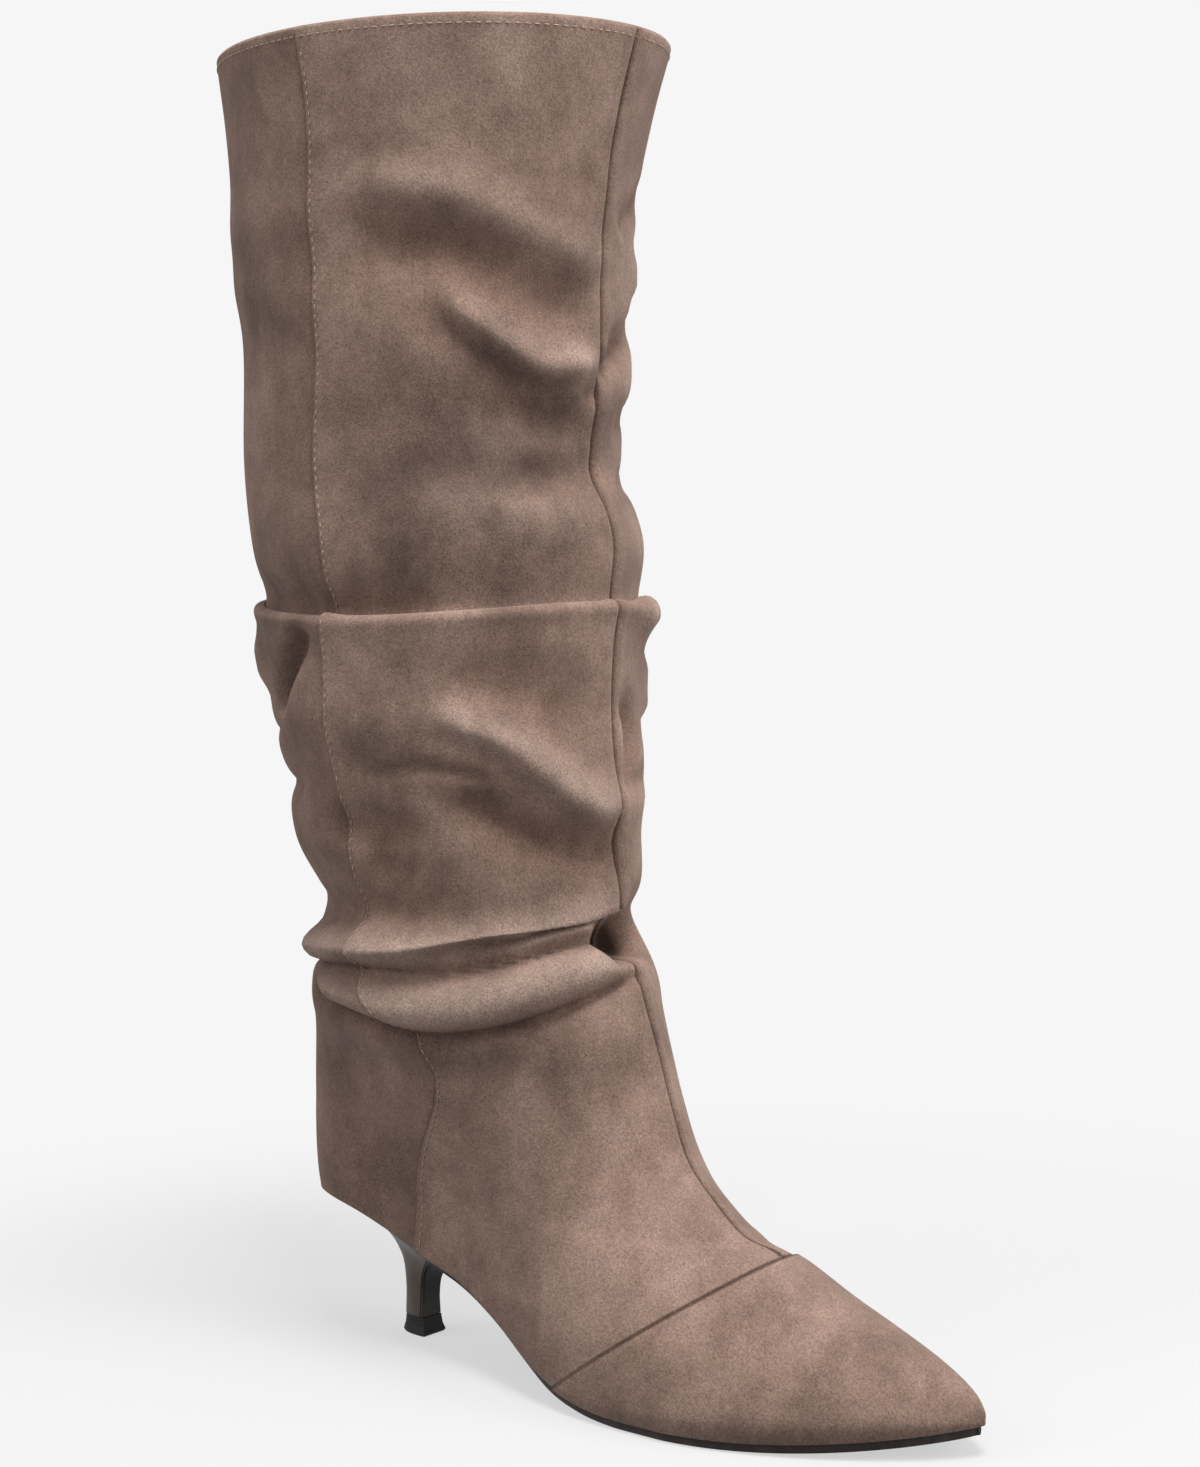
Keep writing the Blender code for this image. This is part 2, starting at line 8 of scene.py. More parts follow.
import bmesh
import bpy
import numpy as np
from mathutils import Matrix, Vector


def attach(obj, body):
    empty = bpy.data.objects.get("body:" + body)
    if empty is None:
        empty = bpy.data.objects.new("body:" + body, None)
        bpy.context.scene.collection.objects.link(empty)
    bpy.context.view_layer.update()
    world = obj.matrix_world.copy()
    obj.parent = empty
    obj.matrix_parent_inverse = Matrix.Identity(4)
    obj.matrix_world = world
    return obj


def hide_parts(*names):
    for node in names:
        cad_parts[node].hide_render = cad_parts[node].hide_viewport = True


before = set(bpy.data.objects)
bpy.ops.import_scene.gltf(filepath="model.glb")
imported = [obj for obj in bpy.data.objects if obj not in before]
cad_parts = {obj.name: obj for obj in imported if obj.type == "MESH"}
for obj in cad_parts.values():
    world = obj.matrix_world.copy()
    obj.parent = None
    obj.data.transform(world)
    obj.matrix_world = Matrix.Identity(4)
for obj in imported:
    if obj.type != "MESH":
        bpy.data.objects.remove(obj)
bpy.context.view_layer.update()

# Camera. It stands near the boot, on the outer side of the toe and a little above half the boot's height, so
# that the collar's rim shows as a thin line and the toe looks large.
TREAD_X = 0.170
VIEW_TURN = math.radians(37.6)
VIEW_DISTANCE = 0.847
VIEW_HEIGHT = 0.259
VIEW_AIM = Vector((0.115 - TREAD_X, 0, 0.208))
SENSOR_MM = 36
LENS_MM = 65
camera = bpy.data.objects.new("camera", bpy.data.cameras.new("camera"))
bpy.context.scene.collection.objects.link(camera)
camera.location = VIEW_AIM + VIEW_DISTANCE * Vector((math.sin(VIEW_TURN), -math.cos(VIEW_TURN), 0))
camera.location.z = VIEW_HEIGHT
camera.rotation_euler = (VIEW_AIM - camera.location).to_track_quat("-Z", "Y").to_euler()
camera.data.sensor_width = SENSOR_MM
camera.data.lens = LENS_MM
bpy.context.scene.camera = camera


# Floor and light. A pale paper floor that runs into a pale backdrop, under three soft boxes: a strong one
# above the camera, one from the toe's side and a weak one from the heel's side. Dim light from all round
# fills the shadows, and neither floor nor backdrop throws light on the boot.
PAPER_WHITE = "F6F6F6"
FLOOR_RADIUS = 7.6
BACKDROP_RADIUS = 8.0
SHADOW_RADIUS = 0.22
WHITE_RADIUS = 0.5
LIGHT_AIM = Vector((-0.05, 0, 0.2))
# name, place, width, watts
LIGHTS = (
    ("soft_box_above", (0.40, -0.30, 1.7), 0.6, 30.0),
    ("soft_box_toe_side", (1.3, 0.35, 0.8), 0.7, 13.0),
    ("soft_box_heel_side", (-0.9, -1.3, 0.9), 0.8, 9.0),
)


def linear(code):
    """Linear colour from an sRGB hex value."""
    parts = [int(code[i:i + 2], 16) / 255 for i in (0, 2, 4)]
    return [c / 12.92 if c <= 0.04045 else ((c + 0.055) / 1.055) ** 2.4 for c in parts]


def add_node(tree, kind, settings=None, **inputs):
    """Adds a shader node with its settings and its inputs, each a value, an sRGB hex value or a socket."""
    node = tree.nodes.new("ShaderNode" + kind)
    for name, value in (settings or {}).items():
        if name == "stops":
            for _ in value[2:]:
                node.color_ramp.elements.new(0.5)
            for element, (at, code) in zip(node.color_ramp.elements, value):
                element.position = at
                element.color = (*linear(code), 1)
        else:
            setattr(node, name, value)
    for name, value in inputs.items():
        socket = node.inputs[int(name[1:])] if name[1:].isdigit() else node.inputs[name.replace("_", " ")]
        if isinstance(value, bpy.types.NodeSocket):
            tree.links.new(value, socket)
        else:
            socket.default_value = (*linear(value), 1) if isinstance(value, str) else value
    return node


def new_material(name, roughness, specular=0.5):
    """Material of the given name, with its roughness and specular level on the shader's own sockets."""
    made = bpy.data.materials.new(name)
    made.use_nodes = True
    shader = made.node_tree.nodes["Principled BSDF"]
    shader.inputs["Roughness"].default_value = roughness
    shader.inputs["Specular IOR Level"].default_value = specular
    return made, made.node_tree, shader


# Uncoated paper, wholly matt. It takes the boot's soft shadow close by and is an even white further out.
paper, tree, shader = new_material("matt_floor_paper", 1.0, 0.0)
shader.inputs["Base Color"].default_value = (*linear("7A7A7A"), 1)
shader.inputs["Emission Color"].default_value = (1, 1, 1, 1)
shader.inputs["Emission Strength"].default_value = 0.57
spot = add_node(tree, "TexCoord").outputs["Object"]
reach = add_node(tree, "VectorMath", {"operation": "LENGTH"}, i0=spot).outputs["Value"]
near_boot = add_node(tree, "MapRange", {"interpolation_type": "SMOOTHSTEP"},
                     i0=reach, i1=SHADOW_RADIUS, i2=WHITE_RADIUS).outputs[0]
far_white = add_node(tree, "Emission", Color=PAPER_WHITE, Strength=1.0).outputs[0]
floor_mix = add_node(tree, "MixShader", i0=near_boot, i1=shader.outputs[0], i2=far_white)
tree.links.new(floor_mix.outputs[0], tree.nodes["Material Output"].inputs["Surface"])

# The same paper, lit evenly, so that it shows one white with no shading.
backdrop_paper, _, shader = new_material("lit_backdrop_paper", 0.5, 0.0)
shader.inputs["Base Color"].default_value = (0, 0, 0, 1)
shader.inputs["Emission Color"].default_value = (*linear(PAPER_WHITE), 1)
shader.inputs["Emission Strength"].default_value = 1.0
for name, made in (("floor", paper), ("backdrop", backdrop_paper)):
    shape = bmesh.new()
    if made is paper:
        bmesh.ops.create_circle(shape, cap_ends=True, segments=64, radius=FLOOR_RADIUS)
    else:
        bmesh.ops.create_uvsphere(shape, u_segments=48, v_segments=24, radius=BACKDROP_RADIUS)
    mesh = bpy.data.meshes.new(name)
    shape.to_mesh(mesh)
    shape.free()
    mesh.materials.append(made)
    ground = bpy.data.objects.new(name, mesh)
    ground.visible_diffuse = False
    ground.visible_glossy = False
    ground.visible_shadow = made is paper
    bpy.context.scene.collection.objects.link(ground)

room = bpy.data.worlds.new("dim_room")
room.use_nodes = True
tree = room.node_tree
facing = add_node(tree, "TexCoord").outputs["Generated"]
up = add_node(tree, "SeparateXYZ", Vector=facing).outputs[2]
dim = add_node(tree, "MapRange", i0=up, i1=-1.0, i2=1.0, i3=0.34, i4=0.66).outputs[0]
tree.links.new(dim, tree.nodes["Background"].inputs["Strength"])
tree.nodes["Background"].inputs["Color"].default_value = (1, 1, 1, 1)
bpy.context.scene.world = room
bpy.context.scene.view_settings.view_transform = "Standard"

for name, place, size, power in LIGHTS:
    lamp = bpy.data.lights.new(name, "AREA")
    lamp.size = size
    lamp.energy = power
    light = bpy.data.objects.new(name, lamp)
    light.location = place
    light.rotation_euler = (LIGHT_AIM - light.location).to_track_quat("-Z", "Y").to_euler()
    bpy.context.scene.collection.objects.link(light)


# Upper. Soft suede, sewn from a front panel, a back panel and a pointed toe piece, lasted over the foot and
# left slack in the shaft, so that it sinks into one deep tuck below the calf and into rolls at the ankle.
LAST_LENGTH = 0.2535
BALL_WIDTH = 0.079
SEAT_WIDTH = 0.0490
SEAT_HEIGHT = 0.050
TREAD_FLAT = 0.012
TOE_SPRING = 0.0065
BALL_SWING = 0.0034
TOE_SWING = 0.0026
HEEL_ROUND = 0.63
HEEL_ROUND_POWER = 2.2
TOE_TAPER_POWER = 1.6
TOE_BLUNT_POWER = 0.74
ANKLE_HEIGHT = 0.134
ANKLE_LENGTH = 0.122
ANKLE_WIDTH = 0.090
ANKLE_CENTRE = 0.0665
COLLAR_LENGTH = 0.160
COLLAR_WIDTH = 0.125
COLLAR_CENTRE = 0.0485
BOOT_HEIGHT = 0.429
LAP_SHARE = 0.25
RIDGE_POWER = 4
NARROW_POWER = 1.5
SECTION_POWER = 1.5
SECTION_BULGE = 0.25
SLOPE_ABOVE_RIDGE = 4
SOLE_THICKNESS = 0.0028
GAP = 0.0003
WALL = 0.0018
LASTING_MARGIN = 0.0075
LASTING_THICKNESS = 0.0008
LASTING_LEAST = 0.2
FOLD_DEPTH = 0.0055
FOLD_HEIGHT = 0.010
FIRST_FOLDED_ROW = 4
TUCK_OUT = 0.9
TUCK_DOWN = 0.8
SEAM_STEP = 0.0009
LAP_FADE = 0.010
TOE_STEP_FADE = 0.012
STEP_RUN = 0.0006
TOE_SEAM_TOP = Vector((0.187, 0, 0.0495))
TOE_SEAM_FOOT = Vector((0.124, 0, 0.005))

# Foot rings, from the feather edge up. back: share of LAST_LENGTH. back_rise: share of the way from
# SEAT_HEIGHT to ANKLE_HEIGHT. front: share of the way from the ankle's front to the toe tip. front_rise:
# share of ANKLE_HEIGHT. width: share of ANKLE_WIDTH. shaft: from 0, the last's section, to 1, the shaft's
# oval. narrow: how much the oval narrows to the front. lap: the side seam's part of a turn from the back.
# back, back_rise, front, front_rise, width, shaft, narrow, lap
FOOT_RINGS = (
    (0.007, 0.00, 1.000, 0.076, 0.60, 0.00, 0.50, 0.157),
    (0.003, 0.06, 0.998, 0.102, 0.62, 0.00, 0.50, 0.158),
    (0.000, 0.13, 0.958, 0.140, 0.66, 0.02, 0.50, 0.162),
    (-0.002, 0.21, 0.866, 0.190, 0.70, 0.05, 0.50, 0.168),
    (-0.003, 0.29, 0.742, 0.244, 0.74, 0.10, 0.50, 0.175),
    (-0.003, 0.37, 0.610, 0.300, 0.78, 0.16, 0.50, 0.185),
    (-0.003, 0.45, 0.474, 0.366, 0.82, 0.24, 0.50, 0.198),
    (-0.002, 0.53, 0.362, 0.390, 0.86, 0.34, 0.50, 0.212),
    (0.000, 0.61, 0.266, 0.460, 0.89, 0.46, 0.48, 0.228),
    (0.003, 0.69, 0.178, 0.548, 0.92, 0.60, 0.44, 0.246),
    (0.007, 0.77, 0.124, 0.668, 0.95, 0.74, 0.38, 0.256),
    (0.012, 0.85, 0.082, 0.786, 0.97, 0.87, 0.30, 0.248),
    (0.017, 0.93, 0.040, 0.896, 0.98, 0.96, 0.22, 0.218),
)
# Shaft rings, from the ankle up, as shares of the way from the ankle's size to the collar's, but for narrow
# and lap, which are as above.
# rise, centre, length, width, narrow, lap
SHAFT_RINGS = (
    (0.00, 0.00, -0.05, -0.05, 0.15, 0.203),
    (0.06, 0.20, -0.34, -0.26, 0.10, 0.212),
    (0.13, 0.44, 0.02, 0.12, 0.05, 0.224),
    (0.23, 0.58, 0.08, 0.20, 0.00, 0.224),
    (0.34, 0.82, 0.20, 0.30, 0.00, 0.236),
    (0.45, 0.90, 0.44, 0.53, 0.00, 0.241),
    (0.55, 1.28, 0.33, 0.41, 0.00, 0.245),
    (0.68, 1.18, 0.40, 0.47, 0.00, 0.248),
    (0.81, 1.25, 0.49, 0.57, 0.00, 0.249),
    (0.92, 1.12, 0.74, 0.78, 0.00, 0.248),
    (1.00, 1.00, 1.00, 1.00, 0.00, 0.242),
)
# Plan of the foot behind the tread. station: share of TREAD_X. half: share of the way from the seat's half
# width to the ball's. swing: share of BALL_SWING.
# station, half, swing
PLAN = (
    (0.00, 0.00, 0.00), (0.20, 0.00, 0.00), (0.36, -0.06, 0.10), (0.46, 0.00, 0.25),
    (0.56, 0.20, 0.45), (0.74, 0.75, 0.80), (0.86, 0.94, 0.95), (1.00, 1.00, 1.00),
)
# Height of the feather edge: station as a share of TREAD_X, and share of the way up to SEAT_HEIGHT.
FEATHER = (
    (0.00, 1.00), (0.053, 0.995), (0.11, 0.980), (0.176, 0.935), (0.265, 0.825), (0.36, 0.680),
    (0.46, 0.560), (0.56, 0.400), (0.65, 0.235), (0.735, 0.095), (0.82, 0.025), (0.89, 0.003),
    (0.94, 0.00), (1.00, 0.00),
)
ANKLE_ROW = len(FOOT_RINGS)
TOP_ROW = ANKLE_ROW + len(SHAFT_RINGS) - 1


def flow(xs, ys, at):
    """Smooth curve through points, read at an array of places."""
    xs, ys = np.asarray(xs, float), np.asarray(ys, float)
    at = np.clip(at, xs[0], xs[-1])
    slopes = np.empty_like(ys)
    slopes[1:-1] = (ys[2:] - ys[:-2]) / (xs[2:] - xs[:-2])
    slopes[0] = (ys[1] - ys[0]) / (xs[1] - xs[0])
    slopes[-1] = (ys[-1] - ys[-2]) / (xs[-1] - xs[-2])
    k = np.clip(np.searchsorted(xs, at, side="right") - 1, 0, len(xs) - 2)
    span = xs[k + 1] - xs[k]
    t = (at - xs[k]) / span
    return (ys[k] * (1 + 2 * t) * (1 - t) ** 2 + slopes[k] * span * t * (1 - t) ** 2
            + ys[k + 1] * t * t * (3 - 2 * t) - slopes[k + 1] * span * t * t * (1 - t))


def mix(a, b, t):
    """Value at a share t of the way from a to b."""
    return a + (b - a) * t


def ramp(t):
    """Smooth step from 0 to 1."""
    t = np.clip(t, 0.0, 1.0)
    return t * t * (3 - 2 * t)


def ring_columns():
    """Every ring as back x, back z, front x, front z, half width, shaft, narrow and lap, column by column."""
    ankle_front = ANKLE_CENTRE + ANKLE_LENGTH / 2
    rows = []
    for back, back_rise, front, front_rise, width, shaft, narrow, lap in FOOT_RINGS:
        rows.append((back * LAST_LENGTH, mix(SEAT_HEIGHT, ANKLE_HEIGHT, back_rise),
                     mix(ankle_front, LAST_LENGTH, front), front_rise * ANKLE_HEIGHT,
                     width * ANKLE_WIDTH / 2, shaft, narrow, lap))
    for rise, middle, long, wide, narrow, lap in SHAFT_RINGS:
        centre = mix(ANKLE_CENTRE, COLLAR_CENTRE, middle)
        length = mix(ANKLE_LENGTH, COLLAR_LENGTH, long)
        width = mix(ANKLE_WIDTH, COLLAR_WIDTH, wide)
        height = mix(ANKLE_HEIGHT, BOOT_HEIGHT, rise)
        rows.append((centre - length / 2, height, centre + length / 2, height, width / 2, 1.0, narrow, lap))
    return np.array(rows).T


COLUMNS = ring_columns()
along_ridge = np.linspace(1, ANKLE_ROW, 400)
RIDGE_X = flow(range(TOP_ROW + 1), COLUMNS[2], along_ridge)[::-1]
RIDGE_Z = flow(range(TOP_ROW + 1), COLUMNS[3], along_ridge)[::-1]


def plan_half(x):
    """Half width of the last's feather line."""
    t = np.clip((x - TREAD_X) / (LAST_LENGTH - TREAD_X), 0, 1)
    ahead = BALL_WIDTH / 2 * (1 - t**TOE_TAPER_POWER) ** TOE_BLUNT_POWER
    stations, halves, _ = np.array(PLAN).T
    behind = mix(SEAT_WIDTH, BALL_WIDTH, flow(stations, halves, x / TREAD_X)) / 2
    rear = np.clip(1 - np.maximum(x, 0) / (SEAT_WIDTH * HEEL_ROUND), 0, 1)
    return np.where(x >= TREAD_X, ahead, behind * np.sqrt(1 - rear**HEEL_ROUND_POWER))


def plan_swing(x):
    """Sideways place of the last's middle line."""
    t = np.clip((x - TREAD_X) / (LAST_LENGTH - TREAD_X), 0, 1)
    stations, _, swings = np.array(PLAN).T
    behind = -BALL_SWING * flow(stations, swings, x / TREAD_X)
    return np.where(x >= TREAD_X, mix(-BALL_SWING, TOE_SWING, t**TOE_TAPER_POWER), behind)


def feather_height(x):
    """Height of the line where the upper meets the sole."""
    base = SOLE_THICKNESS + GAP
    stations, rises = np.array(FEATHER).T
    rise = np.maximum(flow(stations, rises, x / TREAD_X), 0) * (SEAT_HEIGHT - base)
    lifts = TREAD_X + TREAD_FLAT
    return base + rise + TOE_SPRING * (np.maximum(x - lifts, 0) / (LAST_LENGTH - lifts)) ** 2


def smooth_skin(s, share):
    """Points of the wall's inner face, unfolded. share: part of a turn from the back, outer side < 0."""
    s, share = np.broadcast_arrays(np.asarray(s, float), np.asarray(share, float))
    back, back_z, front, front_z, half, shaft, narrow, lap = [
        flow(range(TOP_ROW + 1), column, s) for column in COLUMNS
    ]
    side = np.abs(share)
    behind_lap = side / LAP_SHARE * lap
    ahead_of_lap = lap + (side - LAP_SHARE) / (0.5 - LAP_SHARE) * (0.5 - lap)
    side = np.where(side < LAP_SHARE, behind_lap, ahead_of_lap)
    angle = 2 * np.pi * side
    along = (1 - np.cos(angle)) / 2
    x = mix(back, front, along)
    z = mix(back_z, front_z, along)
    foot_x = np.where(s < ANKLE_ROW, np.minimum(front, LAST_LENGTH) * along, x)
    oval = half * np.abs(np.sin(angle)) * (1 - narrow * along**NARROW_POWER)
    low = feather_height(x)
    straight = mix(SEAT_HEIGHT, feather_height(np.array(LAST_LENGTH)), x / LAST_LENGTH)
    z = np.where(shaft < 1, z + (low - straight) * (1 - ramp(s / ANKLE_ROW)) * (1 - along**RIDGE_POWER), z)
    z = np.where(s <= 0, low, z)
    ankle_x, ankle_z = RIDGE_X[0], RIDGE_Z[0]
    high = np.where(x <= ankle_x, ankle_z + SLOPE_ABOVE_RIDGE * (ankle_x - x), np.interp(x, RIDGE_X, RIDGE_Z))
    h = np.clip((z - low) / np.maximum(high - low, 1e-6), 0, 1)
    full = np.sqrt(np.maximum(1 - h**SECTION_POWER, 0)) * (1 + SECTION_BULGE * h * (1 - h))
    y = mix(plan_half(foot_x) * full, oval, shaft)
    y = np.copysign(y, share) + plan_swing(x) * (1 - shaft)
    return np.stack([x, y, z], axis=-1)


# Folds that run round the shaft. back, side and front: height of the crest, as shares of BOOT_HEIGHT. crest:
# how far it stands out. droop: how far it hangs. tuck: how far what is below laps over what is above. Below
# the tuck's lip, LIP_FROM spreads down, the lap dies away slowly, over LIP_SPREAD.
LIP_FROM = 0.707
LIP_DEPTH = 0.4289
LIP_SPREAD = 2.6
# back, side, front, crest, droop, tuck, spread
FOLDS = (
    (0.872, 0.868, 0.880, 0.25, 0.00, 0.00, 1.1),
    (0.830, 0.800, 0.735, 0.30, 0.00, 0.00, 1.1),
    (0.581, 0.569, 0.580, 0.35, 0.00, 1.05, 1.0),
    (0.470, 0.495, 0.440, 0.40, 0.10, 0.00, 1.2),
    (0.325, 0.340, 0.380, 0.50, 0.30, 0.00, 0.9),
    (0.290, 0.262, 0.312, 0.30, 0.25, 0.00, 0.9),
)


def folded(points, s, share, tuck_factor):
    """Adds the folds that run all the way round."""
    angle = 2 * np.pi * share
    middle = (flow(range(TOP_ROW + 1), COLUMNS[0], s) + flow(range(TOP_ROW + 1), COLUMNS[2], s)) / 2
    out = np.stack([points[..., 0] - middle, points[..., 1], np.zeros_like(share)], axis=-1)
    out /= np.maximum(np.linalg.norm(out, axis=-1, keepdims=True), 1e-9)
    moved = points.copy()
    for back, side, front, crest, droop, tuck, spread in FOLDS:
        mean, turn, twice = (back + front) / 4 + side / 2, (back - front) / 2, (back + front) / 4 - side / 2
        level = BOOT_HEIGHT * (mean + turn * np.cos(angle) + twice * np.cos(2 * angle))
        t = (points[..., 2] - level) / (FOLD_HEIGHT * spread)
        fade_in = ramp(s - FIRST_FOLDED_ROW)
        swell = np.exp(-t * t) * fade_in
        below_lip = -LIP_DEPTH * np.exp(-(((t + LIP_FROM) / LIP_SPREAD) ** 2))
        lip = np.where(t < -LIP_FROM, below_lip, t * np.exp(-t * t)) * fade_in
        moved += out * (FOLD_DEPTH * (crest * swell - TUCK_OUT * tuck_factor * tuck * lip))[..., None]
        moved[..., 2] -= FOLD_HEIGHT * (droop + TUCK_DOWN * tuck_factor * tuck * t) * swell
    return moved


def grid_normals(points):
    """Outward normals of a grid of points that closes round."""
    across = np.roll(points, -1, axis=1) - np.roll(points, 1, axis=1)
    up = np.gradient(points, axis=0)
    facing = np.cross(up, across)
    return facing / np.maximum(np.linalg.norm(facing, axis=-1, keepdims=True), 1e-12)


# Creases laid one by one. Each is a line of (turn from the back, place among the rings), the outer side below
# 0. width: half width. rise: how far it stands out, troughs below 0. droop: how far it hangs to the right of
# the line, seen from outside. lap: how far the left side stands over the right one. pinch: how far the sides
# draw in, as a share of the width. ends: share of the length over which each end dies away. The first four
# are in millimetres. A crease reaches CREASE_REACH times its width, and LAP_RISE turns its lap into height.
CREASE_REACH = 3
CREASE_STEPS = 60
LAP_RISE = 1.6
